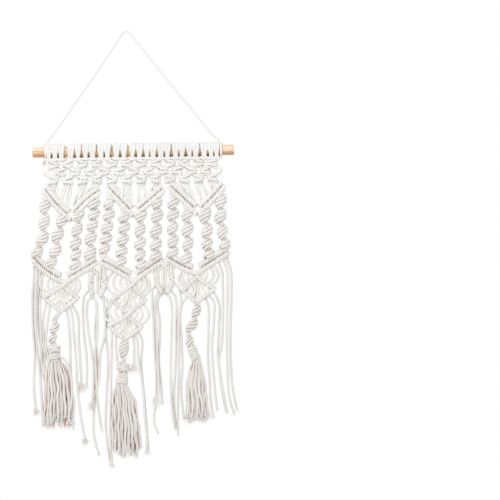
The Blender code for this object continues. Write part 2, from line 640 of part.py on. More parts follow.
def make_fringe(fringe, look, home):
    """A narrow strip under its bar, and the strands that hang from it."""
    bar, half = bar_above(fringe)
    under = below(bar, half + GAP + STRIP_RADIUS)
    roots = [at_x(under, one["root"]) for one in fringe["strands"]]
    left, right = (Vector((reach * MM, 0.0, 0.0)) for reach in (-STRIP_REACH, STRIP_REACH))
    ends = [at_x(under, (roots[0] + left).x / MM), at_x(under, (roots[-1] + right).x / MM)]
    middle = [point for point in under if ends[0].x < point.x < ends[1].x]
    path = [ends[0], *middle, ends[1]]
    sizes = [STRIP_RADIUS] * len(path)
    pieces = [loft(path, sizes, sizes, oval(4, 0.0))]
    for one, root in zip(fringe["strands"], roots):
        y = SHEET_Y - one["out"]
        points = [root - Vector((0.0, 0.0, ROOT_SEAT * MM))]
        high = root.z / MM
        levels = [(x, z) for x, z in zip(one["at"], FRINGE_LEVELS)
                  if one["end"][1] + LEVEL_ABOVE_END < z < high - LEVEL_BELOW_ROOT]
        if levels and levels[0][1] < high - LONG_DROP:
            across = root.lerp(spot(levels[0][0], high), SHOULDER_SHARE)
            points.append(across - Vector((0.0, 0.0, SHOULDER_DROP * MM)))
        points += [spot(x, z, y) for x, z in levels]
        points.append(spot(*one["end"], y))
        pieces.append(strand(points, len(points) + 1))
    fuse(fringe["name"], pieces, look, home)


def make_tassel(tassel, look, home):
    """A knotted stalk with its gathering wrap, and a skirt of strands spread below it."""
    floor = corners(DIAMONDS[tassel["diamond"]], "left", "bottom", "right")
    tip = below(floor, VALLEY * ROW_HALF + GAP)[1]
    stalk = [tip] + [spot(x, z) for x, z, _ in tassel["stalk"]]
    wide = [STALK_TOP] + [half for _, _, half in tassel["stalk"]]
    turns = [k * STALK_TWIST for k in range(len(stalk))]
    pieces = [loft(stalk, wide, [half * STALK_FLATNESS for half in wide], oval(6, 0.0), turns)]
    neck_x, neck_z, neck = tassel["stalk"][-1]
    rings = [(neck_x, neck_z + rise, share * neck) for rise, share in SKIRT_TOP]
    rings += [tassel["wide"], tassel["ends"]]
    for k in range(SKIRT_STRANDS):
        angle = 2 * math.pi * (k + 0.5) / SKIRT_STRANDS
        points = []
        for x, z, half in rings:
            points.append(spot(x + half * math.cos(angle), z,
                               SHEET_Y + half * SKIRT_FLATNESS * math.sin(angle)))
        points[-1].z += tassel["uneven"] * math.sin(UNEVEN_TURN * k) * MM
        pieces.append(strand(points, 4))
    fuse(tassel["name"], pieces, look, home)


# ---------------------------------------------------------------- the whole hanging
def main():
    for old in list(bpy.data.objects):
        bpy.data.objects.remove(old)
    home = new_collection("macrame_wall_hanging")
    cotton, pale_wood = new_material(COTTON), new_material(WOOD)
    make_dowel(pale_wood, home)
    make_hanger(cotton, home)
    make_tie("hanger_tie_left", NET_LEFT - HANGER_RADIUS - GAP, True, cotton, home)
    make_tie("hanger_tie_right", NET_RIGHT + HANGER_RADIUS + GAP, False, cotton, home)
    make_heads(cotton, home)
    make_panel(cotton, home)
    for fringe in FRINGES:
        make_fringe(fringe, cotton, home)
    for tassel in TASSELS:
        make_tassel(tassel, cotton, home)


main()
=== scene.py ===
"""The looks of the macrame wall hanging, in the frame of its solids.

Sizes are in millimetres, x to the right and z up from the point that it hangs from, front
towards -Y, and MM turns them into metres. Every cotton cord is a tube of three twisted plies
along its own route: lark's heads on the dowel, square knots, clove hitches along the chevrons
and diamonds, spiral sinnets, loose fringe with frayed ends, and tassels.
"""

import math

import bpy
import numpy as np
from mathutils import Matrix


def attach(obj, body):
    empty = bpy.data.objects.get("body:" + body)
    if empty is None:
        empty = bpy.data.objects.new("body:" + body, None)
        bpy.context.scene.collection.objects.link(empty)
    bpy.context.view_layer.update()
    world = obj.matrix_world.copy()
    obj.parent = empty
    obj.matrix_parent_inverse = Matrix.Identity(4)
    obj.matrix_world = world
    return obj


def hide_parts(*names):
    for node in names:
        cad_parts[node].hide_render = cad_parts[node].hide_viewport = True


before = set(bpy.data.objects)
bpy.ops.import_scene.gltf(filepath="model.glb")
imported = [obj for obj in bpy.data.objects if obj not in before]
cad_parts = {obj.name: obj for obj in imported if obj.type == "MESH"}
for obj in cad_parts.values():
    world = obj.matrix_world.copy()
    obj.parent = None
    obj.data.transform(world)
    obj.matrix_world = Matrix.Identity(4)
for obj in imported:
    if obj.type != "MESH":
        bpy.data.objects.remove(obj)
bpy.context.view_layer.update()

MM = 0.001
SHEET_Y = -4.0
CORD = 2.0                      # a free cord's radius on its plies
TIGHT = 1.85                    # and where a knot squeezes it
GROOVE = 0.92                   # radius between two plies, against the radius on them
PLY_TURN = 12.0                 # length in which the plies turn once
STEP = 1.25                     # between a cord's rings
SIDES = 9
UV_ALONG = 0.1                  # of a cord's texture, for a millimetre of its length
FRONT = np.array((0.0, -1.0, 0.0))
rng = np.random.default_rng(5)


# ---------------------------------------------------------------- camera, light and stage
PICTURE_CENTRE = (155.0, -272.9)
PICTURE_WIDTH = 625.0
CAMERA_AWAY = 2400.0
SENSOR = 36.0
LAMP_PLACE = (-0.9, -1.5, 0.7)  # the lamp's and the floor's sizes and places are in metres
LAMP_AIM = (0.0, 0.0, -0.28)
LAMP_SIZE = 0.8
LAMP_WATTS = 9.0
FLOOR_Z = -0.95
FLOOR_SIZE = 4.4


def start_material(name, **values):
    """A material, its nodes and its shader, with those of the shader's values that are even."""
    made = bpy.data.materials.new(name)
    made.use_nodes = True
    shader = made.node_tree.nodes["Principled BSDF"]
    for key, value in values.items():
        shader.inputs[key.replace("_", " ")].default_value = value
    return made, made.node_tree, shader


def set_stage():
    """The camera square on, soft white light from all round, one large lamp and a pale floor."""
    scene = bpy.context.scene
    lens = bpy.data.cameras.new("camera")
    lens.sensor_width = SENSOR
    lens.lens = SENSOR * CAMERA_AWAY / PICTURE_WIDTH
    lens.clip_start, lens.clip_end = 0.05, 20.0
    camera = bpy.data.objects.new("camera", lens)
    x, z = PICTURE_CENTRE
    camera.location = (x * MM, (SHEET_Y - CAMERA_AWAY) * MM, z * MM)
    camera.rotation_euler = (math.pi / 2, 0.0, 0.0)
    scene.collection.objects.link(camera)
    scene.camera = camera
    scene.view_settings.view_transform = "Standard"

    world = bpy.data.worlds.new("studio")
    world.use_nodes = True
    sky = world.node_tree.nodes["Background"].inputs
    sky["Color"].default_value = (1.0, 1.0, 1.0, 1.0)
    sky["Strength"].default_value = 1.0
    scene.world = world

    lamp = bpy.data.lights.new("key", "AREA")
    lamp.size = LAMP_SIZE
    lamp.energy = LAMP_WATTS
    light = bpy.data.objects.new("key", lamp)
    light.location = LAMP_PLACE
    aim = np.subtract(LAMP_AIM, LAMP_PLACE)
    light.rotation_euler = (math.atan2(math.hypot(aim[0], aim[1]), -aim[2]), 0.0,
                            -math.atan2(aim[0], aim[1]))
    scene.collection.objects.link(light)

    bpy.ops.mesh.primitive_plane_add(size=FLOOR_SIZE, location=(0.0, 0.0, FLOOR_Z))
    floor = bpy.context.object
    floor.name = "floor"
    pale, _, _ = start_material("pale_floor", Base_Color=(0.78, 0.77, 0.76, 1.0), Roughness=0.9)
    floor.data.materials.append(pale)


# ---------------------------------------------------------------- cords as meshes
def spot(x, z, y=SHEET_Y):
    return np.array((x, y, z), float)


def lengths(path):
    """How far along the path each of its points lies."""
    return np.concatenate([[0], np.cumsum(np.linalg.norm(np.diff(path, axis=0), axis=1))])


def directions(path):
    """Which way the path runs at each of its points."""
    ways = np.gradient(path, axis=0)
    return ways / np.linalg.norm(ways, axis=1)[:, None]


def unit(vector):
    return np.array(vector, float) / np.linalg.norm(vector)


def smooth(points, step=STEP):
    """Points about step apart along the smooth curve through the given ones."""
    p = np.array(points, float)
    gaps = np.linalg.norm(np.diff(p, axis=0), axis=1)
    p = p[np.concatenate([[True], gaps > 1e-3])]
    if len(p) == 2:
        p = np.array([p[0], (p[0] + p[1]) / 2, p[1]])
    gaps = np.linalg.norm(np.diff(p, axis=0), axis=1)[:, None]
    ways = np.diff(p, axis=0) / gaps
    slopes = np.empty_like(p)
    slopes[1:-1] = (ways[:-1] * gaps[1:] + ways[1:] * gaps[:-1]) / (gaps[1:] + gaps[:-1])
    slopes[0], slopes[-1] = 2 * ways[0] - slopes[1], 2 * ways[-1] - slopes[-2]
    fine = []
    for a, b, m, n, h in zip(p, p[1:], slopes, slopes[1:], gaps[:, 0]):
        u = np.linspace(0, 1, max(3, math.ceil(3 * h / step)), endpoint=False)[:, None]
        fine.append(a * (1 + 2 * u) * (1 - u) ** 2 + b * u * u * (3 - 2 * u)
                    + h * (m * u * (1 - u) ** 2 - n * u * u * (1 - u)))
    fine = np.vstack(fine + [p[-1:]])
    along = lengths(fine)
    want = np.linspace(0, along[-1], max(3, round(along[-1] / step) + 1))
    return np.column_stack([np.interp(want, along, fine[:, k]) for k in range(3)])


ASKEW = (0.31, 0.87, 0.38)      # a direction that no cord runs in


class Bundle:
    """Tubes gathered into one mesh."""

    cores = []                  # the middle lines of the cords and the dowel, with their radii
    pieces = []                 # each mesh made, with how strong its painted crevice shade is, and its cords' painted dims

    def __init__(self):
        self.points, self.quads, self.caps, self.uvs, self.count = [], [], [], [], 0
        self.fluffy, self.fluffy_caps, self.painted_dims = [], [], []

    def tube(self, route, radius=CORD, step=STEP, sides=SIDES, groove=GROOVE, turn=PLY_TURN,
             squash=1.0, fluff=False, painted_dim=0.0):
        """Adds a cord along the route. radius is a number, or pairs of share of length and radius."""
        path = smooth(route, step)
        n = len(path)
        ways = directions(path)
        side = np.cross(ways[0], ASKEW)
        aside = np.empty_like(path)
        for i, way in enumerate(ways):
            side = side - way * side.dot(way)
            side = side / math.sqrt(side.dot(side))
            aside[i] = side
        across = np.cross(ways, aside)
        share = np.linspace(0, 1, n)
        if isinstance(radius, (int, float)):
            sizes = np.full(n, float(radius))
        else:
            sizes = np.interp(share, [r[0] for r in radius], [r[1] for r in radius])
        along = share * (n - 1) * step
        turns = rng.uniform(0, 2 * math.pi) + 2 * math.pi * along / turn
        k = np.arange(sides)
        angles = turns[:, None] + 2 * math.pi * k / sides
        lobes = np.where(k % 3 == 0, groove, 1.0) if sides % 3 == 0 else np.ones(sides)
        r = sizes[:, None] * lobes
        rings = (path[:, None, :] + (r * np.cos(angles))[:, :, None] * aside[:, None, :]
                 + (r * np.sin(angles) * squash)[:, :, None] * across[:, None, :])
        self.points.append(rings.reshape(-1, 3))
        i = np.arange(n - 1)[:, None] * sides
        a, b = i + k, i + (k + 1) % sides
        quads = np.stack([a, b, b + sides, a + sides], axis=-1).reshape(-1, 4) + self.count
        self.quads.append(quads)
        u = along * UV_ALONG + rng.uniform(0, 50)
        v = np.arange(sides + 1) / sides
        us = np.stack([u[:-1], u[:-1], u[1:], u[1:]], axis=-1)[:, None]
        vs = np.stack([v[:-1], v[1:], v[1:], v[:-1]], axis=-1)[None]
        self.uvs.append(np.stack(np.broadcast_arrays(us, vs), axis=-1).reshape(-1, 2))
        self.fluffy.append(np.full(len(quads), fluff))
        self.fluffy_caps += [fluff, fluff]
        if not fluff:
            Bundle.cores.append((path, sizes))
        # painted shade: a cord's dim darkens the whole of it
        self.painted_dims.append(np.full(n * sides, painted_dim))
        last = self.count + (n - 1) * sides
        self.caps += [self.count + k[::-1], last + k]
        self.count += n * sides
        return path

    def fray(self, tip, way, fibres=24, length=7.0, spread=0.42, thick=0.17, room=1.0):
        """Loose fibres at a cord's cut end. room is how far apart they start."""
        way = unit(way)
        for _ in range(fibres):
            start = tip - way * rng.uniform(0.8, 3.0) + rng.normal(0, 0.75 * room, 3)
            aim = unit(way + rng.normal(0, spread, 3))
            far = start + aim * length * rng.uniform(0.45, 1.15)
            bend = (start + far) / 2 + rng.normal(0, 0.6, 3)
            self.tube([start, bend, far], [(0, thick * 1.5), (1, thick * 0.7)],
                      step=length / 4, sides=3, groove=1.0, fluff=True)

    def make(self, name, material, *nodes, shade=1.0):
        """The bundle as one smooth-shaded object that rides on the hanging."""
        faces = np.vstack(self.quads).tolist() + [cap.tolist() for cap in self.caps]
        mesh = bpy.data.meshes.new(name)
        mesh.from_pydata(np.vstack(self.points) * MM, [], faces)
        uvs = np.zeros(2 * len(mesh.loops), np.float32)
        sides = np.vstack(self.uvs).ravel()
        uvs[:len(sides)] = sides    # the caps, which come last, have none
        mesh.uv_layers.new(name="cord").data.foreach_set("uv", uvs)
        fluffy = np.concatenate([*self.fluffy, np.array(self.fluffy_caps)])
        mesh.polygons.foreach_set("use_smooth", ~fluffy)
        mesh.polygons.foreach_set("material_index", fluffy.astype(np.int32))
        mesh.update()
        mesh.validate()
        mesh.materials.append(material)
        if fluffy.any():
            mesh.materials.append(fluff)
        made = bpy.data.objects.new(name, mesh)
        bpy.context.scene.collection.objects.link(made)
        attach(made, "root")
        if nodes:
            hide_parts(*nodes)
        Bundle.pieces.append((made, shade, np.concatenate(self.painted_dims)))
        return made


# ---------------------------------------------------------------- painted shade between cords
VOXEL = 0.8                     # of the grid that holds where cotton is
MARGIN = 10.0                   # of that grid round the cords
SHADE_BLUR = 1.2                # how far round it a spot of cord looks for others
SHADE_REACH = 1.5               # and how far off its own surface
SHADE_FROM, SHADE_TO = 0.48, 0.92    # how much cotton there starts the painted shade, and gives all of it


def paint_crevice_shade():
    """Marks each vertex by how much cotton lies round it, for the painted shade between cords."""
    paths = np.vstack([path for path, _ in Bundle.cores])
    radii = np.concatenate([sizes for _, sizes in Bundle.cores])
    low = paths.min(axis=0) - MARGIN
    size = np.ceil((paths.max(axis=0) + MARGIN - low) / VOXEL).astype(int) + 1
    filled = np.zeros(size, np.float32)
    reach = math.ceil(radii.max() / VOXEL)
    steps = np.arange(-reach, reach + 1) * VOXEL
    for offset in np.stack(np.meshgrid(steps, steps, steps), axis=-1).reshape(-1, 3):
        inside = radii >= np.linalg.norm(offset) - 0.3 * VOXEL
        if inside.any():
            where = ((paths[inside] + offset - low) / VOXEL).astype(int)
            filled[tuple(where.T)] = 1.0
    taps = np.arange(-5, 6)
    weights = np.exp(-0.5 * (taps * VOXEL / SHADE_BLUR) ** 2)
    for axis in range(3):
        filled = sum(w * np.roll(filled, int(tap), axis)
                     for tap, w in zip(taps, weights / weights.sum()))
    for made, strength, painted_dims in Bundle.pieces:
        count = len(made.data.vertices)
        place, normal = np.empty(3 * count, np.float32), np.empty(3 * count, np.float32)
        made.data.vertices.foreach_get("co", place)
        made.data.vertices.foreach_get("normal", normal)
        look = (place.reshape(-1, 3) / MM + SHADE_REACH * normal.reshape(-1, 3) - low) / VOXEL
        cell = look.astype(int)
        part = look - cell
        found = np.zeros(count)
        for corner in np.ndindex(2, 2, 2):
            share = np.prod(np.where(corner, part, 1.0 - part), axis=1)
            found += share * filled[tuple((cell + corner).T)]
        shade = np.clip((found - SHADE_FROM) / (SHADE_TO - SHADE_FROM), 0.0, 1.0) ** 2
        layer = made.data.attributes.new("painted_shade", "FLOAT", "POINT")
        # painted shade: the darker of the crowding's shade and the cord's own painted dim
        layer.data.foreach_set("value", np.maximum(strength * shade, painted_dims).astype(np.float32))


# ---------------------------------------------------------------- materials
def feed(tree, socket, value):
    """Sets a socket, or links it where the value comes out of another node."""
    if isinstance(value, bpy.types.NodeSocket):
        tree.links.new(value, socket)
    else:
        socket.default_value = value


def node(tree, kind, **values):
    """A shader node, with values for its inputs or else for its settings."""
    made = tree.nodes.new("ShaderNode" + kind)
    for key, value in values.items():
        if key in made.inputs:
            feed(tree, made.inputs[key], value)
        else:
            setattr(made, key, value)
    return made


def calculate(tree, operation, *values):
    made = node(tree, "Math", operation=operation)
    for socket, value in zip(made.inputs, values):
        feed(tree, socket, value)
    return made.outputs[0]


def noise(tree, place, scale=None, **values):
    """Noise over a place, which is first scaled along each axis where scale is given."""
    if scale:
        place = node(tree, "Mapping", Vector=place, Scale=scale).outputs[0]
    return node(tree, "TexNoise", Vector=place, **values).outputs["Fac"]


def ramp(tree, value, *stops):
    """A colour that goes from one stop's to the next, each a value and its colour."""
    made = node(tree, "ValToRGB", Fac=value)
    for element, (position, color) in zip(made.color_ramp.elements, stops):
        element.position = position
        element.color = color
    return made.outputs["Color"]


def fade(tree, value, none, full):
    """0 where the value is none, and 1 where it is full."""
    return node(tree, "MapRange", Value=value, **{"From Min": none, "From Max": full}).outputs[0]


def mix(tree, share, first, second):
    made = node(tree, "Mix", data_type="RGBA")
    for index, value in ((0, share), (6, first), (7, second)):
        feed(tree, made.inputs[index], value)
    return made.outputs[2]


def add_bump(tree, shader, height, strength, deep):
    bump = node(tree, "Bump", Height=height, Strength=strength, Distance=deep * MM)
    tree.links.new(bump.outputs["Normal"], shader.inputs["Normal"])


FIBRE_LEAN = 1.4                # how much more than its plies a cord's fibres lean
# colours of the painted shade between cords, the tassels' one pinker
PAINTED_SHADE_TONE = (0.40, 0.25, 0.175, 1.0)
TUFT_PAINTED_SHADE_TONE = (0.60, 0.35, 0.25, 1.0)


def cotton_material(name, dull, bright, bumps, painted_shade=PAINTED_SHADE_TONE):
    """Cotton cord: fine fibres along its plies, a little uneven in tone, with painted shade in its
    crevices.
    """
    made, tree, shader = start_material(name, Roughness=0.92, Specular_IOR_Level=0.2,
                                        Sheen_Weight=0.15, Sheen_Roughness=0.6)
    cord = node(tree, "SeparateXYZ", Vector=node(tree, "UVMap", uv_map="cord").outputs["UV"]).outputs
    turned = calculate(tree, "MULTIPLY_ADD", cord["X"], FIBRE_LEAN / (UV_ALONG * PLY_TURN), cord["Y"])
    plies = node(tree, "CombineXYZ", X=cord["X"], Y=turned).outputs[0]
    fine = noise(tree, plies, (1.5, 9.0, 1.0), Scale=3.0, Detail=3.0, Roughness=0.6)
    patch = noise(tree, node(tree, "TexCoord").outputs["Object"], Scale=45.0, Detail=2.0)
    both = calculate(tree, "MULTIPLY_ADD", fine, 0.5, calculate(tree, "MULTIPLY", patch, 0.5))
    tone = ramp(tree, both, (0.30, dull), (0.60, bright))
    # painted shade: a darker colour mixed in where the crevice attribute says cords crowd
    deep = node(tree, "Attribute", attribute_name="painted_shade").outputs["Fac"]
    tree.links.new(mix(tree, deep, tone, painted_shade), shader.inputs["Base Color"])
    add_bump(tree, shader, fine, bumps, 0.4)
    return made


def fluff_material():
    """Loose fibres, lighter than the cord they come from."""
    made, tree, shader = start_material("cotton_fluff", Roughness=0.95, Specular_IOR_Level=0.1)
    patch = noise(tree, node(tree, "TexCoord").outputs["Object"], Scale=120.0, Detail=2.0)
    tone = ramp(tree, patch, (0.30, (0.87, 0.84, 0.80, 1.0)), (0.55, (0.95, 0.935, 0.915, 1.0)))
    tree.links.new(tone, shader.inputs["Base Color"])
    return made


PINE_STREAK = (0.70, 0.44, 0.26, 1.0)
PINE_PALE = (0.87, 0.72, 0.56, 1.0)
# painted shade for the dowel's side turned down at its bare ends, and painted light for that side under
# the heads
PINE_PAINTED_SHADE = (0.60, 0.335, 0.165, 1.0)
PINE_PAINTED_LIGHT = (0.98, 0.62, 0.31, 1.0)
PINE_PORE = (0.40, 0.20, 0.09, 1.0)
UNDER_SHADE_FROM, UNDER_SHADE_TO = -1.0, -3.6    # heights on the dowel between which painted shade deepens its tone
BARE_END, HEADS_END = 108.5, 106.5   # how far from its middle it is bare, and lies under the heads


def wood_material():
    """Pale pine: streaks and small pores along the grain, painted shade on the side turned down,
    and painted light, a bright warm orange, on that side where the cotton shades it."""
    made, tree, shader = start_material("pale_pine", Roughness=0.55)
    place = node(tree, "TexCoord").outputs["Object"]
    streaks = noise(tree, place, (6.0, 90.0, 90.0), Scale=2.2, Detail=4.0, Roughness=0.55,
                    Distortion=0.8)
    fine = noise(tree, place, (40.0, 900.0, 900.0), Scale=1.5, Detail=3.0)
    pores = noise(tree, place, (260.0, 620.0, 620.0), Scale=1.0, Detail=1.0)
    xyz = node(tree, "SeparateXYZ", Vector=place).outputs
    # painted shade on the side turned down, changed to painted light where the heads hang over it
    under = fade(tree, xyz["Z"], UNDER_SHADE_FROM * MM, UNDER_SHADE_TO * MM)
    shaded = fade(tree, calculate(tree, "ABSOLUTE", xyz["X"]), BARE_END * MM, HEADS_END * MM)
    tone = ramp(tree, streaks, (0.40, PINE_STREAK), (0.60, PINE_PALE))
    deep = mix(tree, under, tone, mix(tree, shaded, PINE_PAINTED_SHADE, PINE_PAINTED_LIGHT))
    speck = mix(tree, fade(tree, pores, 0.66, 0.74), deep, PINE_PORE)
    tree.links.new(speck, shader.inputs["Base Color"])
    add_bump(tree, shader, fine, 0.3, 0.3)
    return made


set_stage()
# the cord's cotton; then a lighter copy of it, painted light for the heads, the net and the upper
# chevrons; then darker copies, painted shade for the fringe and the tassels
cotton = cotton_material("cotton_cord", (0.835, 0.805, 0.765, 1.0), (0.925, 0.912, 0.890, 1.0), 0.5)
bright = cotton_material("cotton_painted_lighter", (0.89, 0.87, 0.84, 1.0), (0.95, 0.94, 0.925, 1.0), 0.3)
painted_darker_cotton = cotton_material("cotton_painted_darker", (0.775, 0.745, 0.71, 1.0), (0.865, 0.852, 0.83, 1.0), 0.5)
painted_darker_tuft = cotton_material("cotton_tuft_painted_darker", (0.77, 0.74, 0.70, 1.0), (0.87, 0.855, 0.83, 1.0), 0.5, TUFT_PAINTED_SHADE_TONE)
string = cotton_material("hanging_string", (0.80, 0.797, 0.79, 1.0), (0.81, 0.807, 0.80, 1.0), 0.0)
fluff = fluff_material()
pine = wood_material()


# ---------------------------------------------------------------- sizes that the solids share
DOWEL_RADIUS = 6.5
DOWEL_LENGTH = 252.0
DOWEL_SIDES = 64
DOWEL_X = 9.0                   # its middle
DOWEL_Z = -149.1
DOWEL_TILT = math.radians(0.75)
HANGER_RADIUS = 1.5
GAP = 0.3                       # between the ties and the heads
HEADS = 24
HEAD_PITCH = 8.96
NET_LEFT = -98.75
NET_RIGHT = NET_LEFT + HEADS * HEAD_PITCH
ROW_HALF = 3.5                  # of a row of hitches, two of which make a bar

HANGER_ROUTE = [
    (-98.8, -138.2), (-95.2, -132.9), (-90.0, -125.6), (-82.5, -115.2), (-70.0, -97.3),
    (-57.5, -79.2), (-45.0, -61.4), (-32.5, -43.0), (-20.0, -24.4), (-9.0, -7.8),
    (-4.6, -1.4), (0.0, 1.5), (4.6, -2.0), (9.5, -7.6), (17.5, -17.6), (30.0, -33.3),
    (42.5, -48.9), (55.0, -64.2), (67.5, -79.4), (80.0, -94.4), (92.5, -109.8),
    (105.0, -125.0), (111.0, -131.0), (116.1, -135.4),
]
# x between one lark's head and the next
HEAD_GAPS = (-92.5, -84.4, -75.0, -63.8, -55.0, -46.3, -36.3, -26.9, -17.5, -6.9, 3.1, 12.5, 21.9,
             30.0, 38.8, 48.1, 56.9, 66.3, 75.0, 83.1, 92.5, 102.5, 110.0)
UPPER_CHEVRONS = [
    dict(left=(-101.9, -195), down=(-87.5, -214), v=(-68.5, -231.5),
         up=(-51.5, -212), right=(-33, -198)),
    dict(left=(-22.5, -193), down=(-8.5, -208), v=(9.5, -226.5),
         up=(30, -209.5), right=(46, -195.5)),
    dict(left=(55.5, -192), down=(71, -206.5), v=(89.5, -224.5),
         up=(106, -208.5), right=(121.5, -190.5)),
]
LOWER_CHEVRONS = [
    dict(left=(-115.5, -281.5), down=(-99.5, -297.5), v=(-77, -310),
         up=(-52.5, -295.5), right=(-37, -286.5)),
    dict(left=(-31, -285.5), down=(-12.5, -294.8), v=(9, -308),
         up=(30, -293.5), right=(45.5, -283.5)),
    dict(left=(51.5, -280), down=(67, -290), v=(88, -299),
         up=(108.5, -285.5), right=(128, -273.5)),
]


def dowel_z(x):
    """The height of the dowel's middle line, which hangs a little out of level."""
    return DOWEL_Z + (x - DOWEL_X) * math.tan(DOWEL_TILT)


# ---------------------------------------------------------------- dowel and hanging cord
def make_dowel():
    """The turned dowel with slightly eased, sawn ends, as rings of points from end to end."""
    half = DOWEL_LENGTH / 2
    end = [(half, 3.0), (half, 5.6), (half - 0.2, 6.2), (half - 0.7, DOWEL_RADIUS)]
    profile = [(-x, r) for x, r in end]
    profile += [(x, DOWEL_RADIUS + 0.05 * math.sin(x * 0.09)) for x in np.linspace(6 - half, half - 6, 22)]
    profile += reversed(end)
    around = [2 * math.pi * k / DOWEL_SIDES for k in range(DOWEL_SIDES)]
    points = [(-half, 0.0, 0.0)]
    points += [(x, r * math.cos(a), r * math.sin(a)) for x, r in profile for a in around]
    points.append((half, 0.0, 0.0))
    faces = []
    for k in range(DOWEL_SIDES):
        n = (k + 1) % DOWEL_SIDES
        faces.append((0, 1 + n, 1 + k))
        for a in range(1, 1 + (len(profile) - 1) * DOWEL_SIDES, DOWEL_SIDES):
            faces.append((a + k, a + n, a + DOWEL_SIDES + n, a + DOWEL_SIDES + k))
        last = len(points) - 1 - DOWEL_SIDES
        faces.append((last + k, last + n, len(points) - 1))
    mesh = bpy.data.meshes.new("pine_dowel")
    mesh.from_pydata([tuple(c * MM for c in p) for p in points], [], faces)
    mesh.materials.append(pine)
    mesh.shade_smooth()
    mesh.set_sharp_from_angle(angle=math.radians(40))
    made = bpy.data.objects.new("pine_dowel", mesh)
    made.location = (DOWEL_X * MM, 0.0, DOWEL_Z * MM)
    made.rotation_euler = (0.0, -DOWEL_TILT, 0.0)
    bpy.context.scene.collection.objects.link(made)
    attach(made, "root")
    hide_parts("dowel")
    middle = np.array([spot(DOWEL_X + x, dowel_z(DOWEL_X + x), 0.0)
                       for x in np.linspace(1.0 - half, half - 1.0, 300)])
    Bundle.cores.append((middle, np.full(len(middle), DOWEL_RADIUS)))


HANGER_SIDES = 16               # the thin hanging cord is smooth and round
STRAIGHT = 1.0e6                # with plies that do not turn
TIE_KNOT_CORD = 1.25


def make_hanger():
    """The taut hanging cord, and the turns and knots that tie it to the dowel."""
    thin = dict(groove=1.0, sides=HANGER_SIDES, turn=STRAIGHT)
    line = Bundle()
    path = line.tube([spot(x, z, 0.0) for x, z in HANGER_ROUTE], HANGER_RADIUS, step=1.1, **thin)
    cord = line.make("hanging_cord", string, "hanger_cord")
    for side, x in (("left", NET_LEFT - HANGER_RADIUS - GAP), ("right", NET_RIGHT + HANGER_RADIUS + GAP)):
        tie = Bundle()
        z = dowel_z(x)
        ring = DOWEL_RADIUS + HANGER_RADIUS
        turns = [spot(x + 0.8 * math.sin(a / 2), z + ring * math.cos(a), -ring * math.sin(a))
                 for a in (math.pi * k / 10 for k in range(-1, 22))]
        tie.tube(turns, HANGER_RADIUS, **thin)
        knot = [spot(x + 1.9 * math.cos(a), z + ring + 1.6 + 0.9 * math.sin(2 * a), 1.7 * math.sin(a))
                for a in np.linspace(0, 4 * math.pi, 17)]
        tie.tube(knot, TIE_KNOT_CORD, **thin)
        if side == "left":
            end = [spot(x, z - ring, -1.0), spot(x - 2.0, z - ring - 3.0, -2.0),
                   spot(x - 2.6, z - ring - 6.0, -2.4)]
            tie.tube(end, HANGER_RADIUS, **thin)
            tie.fray(end[-1], (-0.25, 0.0, -1.0), fibres=70, length=6.5, spread=0.55, thick=0.15)
        tie.make("tie_" + side, cotton, "hanger_tie_" + side)


# ---------------------------------------------------------------- lark's heads and the net
HEAD_CORD = 2.6                 # cord of a head over the dowel, pressed against its neighbours
HEAD_FOOT_CORD = 1.75
HEAD_OUT = 1.8                  # how far from the dowel's surface its middle runs
# half of each gap between two heads at their feet, where the wood shows as a drop
FOOT_HALVES = (1.1, 1.0, 2.4, 1.6, 1.9, 1.2, 1.9, 0.9, 2.3, 1.6, 2.3, 1.6, 1.8, 0.6, 1.6, 0.9, 2.1,
               0.8, 1.9, 0.8, 1.9, 1.4, 0.7)
END_HALF = 0.2                  # and beside the first and the last head
# and over the dowel, where most heads touch
CROWN_HALVES = {-75.0: 2.3, -17.5: 1.5, 3.1: 1.6, 56.9: 0.7, -55.0: 0.4, -36.3: 0.4, 92.5: 0.3}
FILLED = 1.5                    # half of the widest gap at the feet with a cord behind the crown
HEAD_FILL = 1.25                # cord behind the grooves between strands that touch
FILL_OUT = 2.2
FOLD_CORD = 1.9                 # the fold that lies across a head's foot


def head_edges():
    return [NET_LEFT, *HEAD_GAPS, NET_RIGHT]


def round_dowel(x, z, out, degrees):
    """Places at x round the dowel and so far out from it, by degrees from its top to the front."""
    ring = DOWEL_RADIUS + out
    turns = [math.radians(one) for one in degrees]
    return [spot(x, z + ring * math.cos(t), -ring * math.sin(t)) for t in turns]


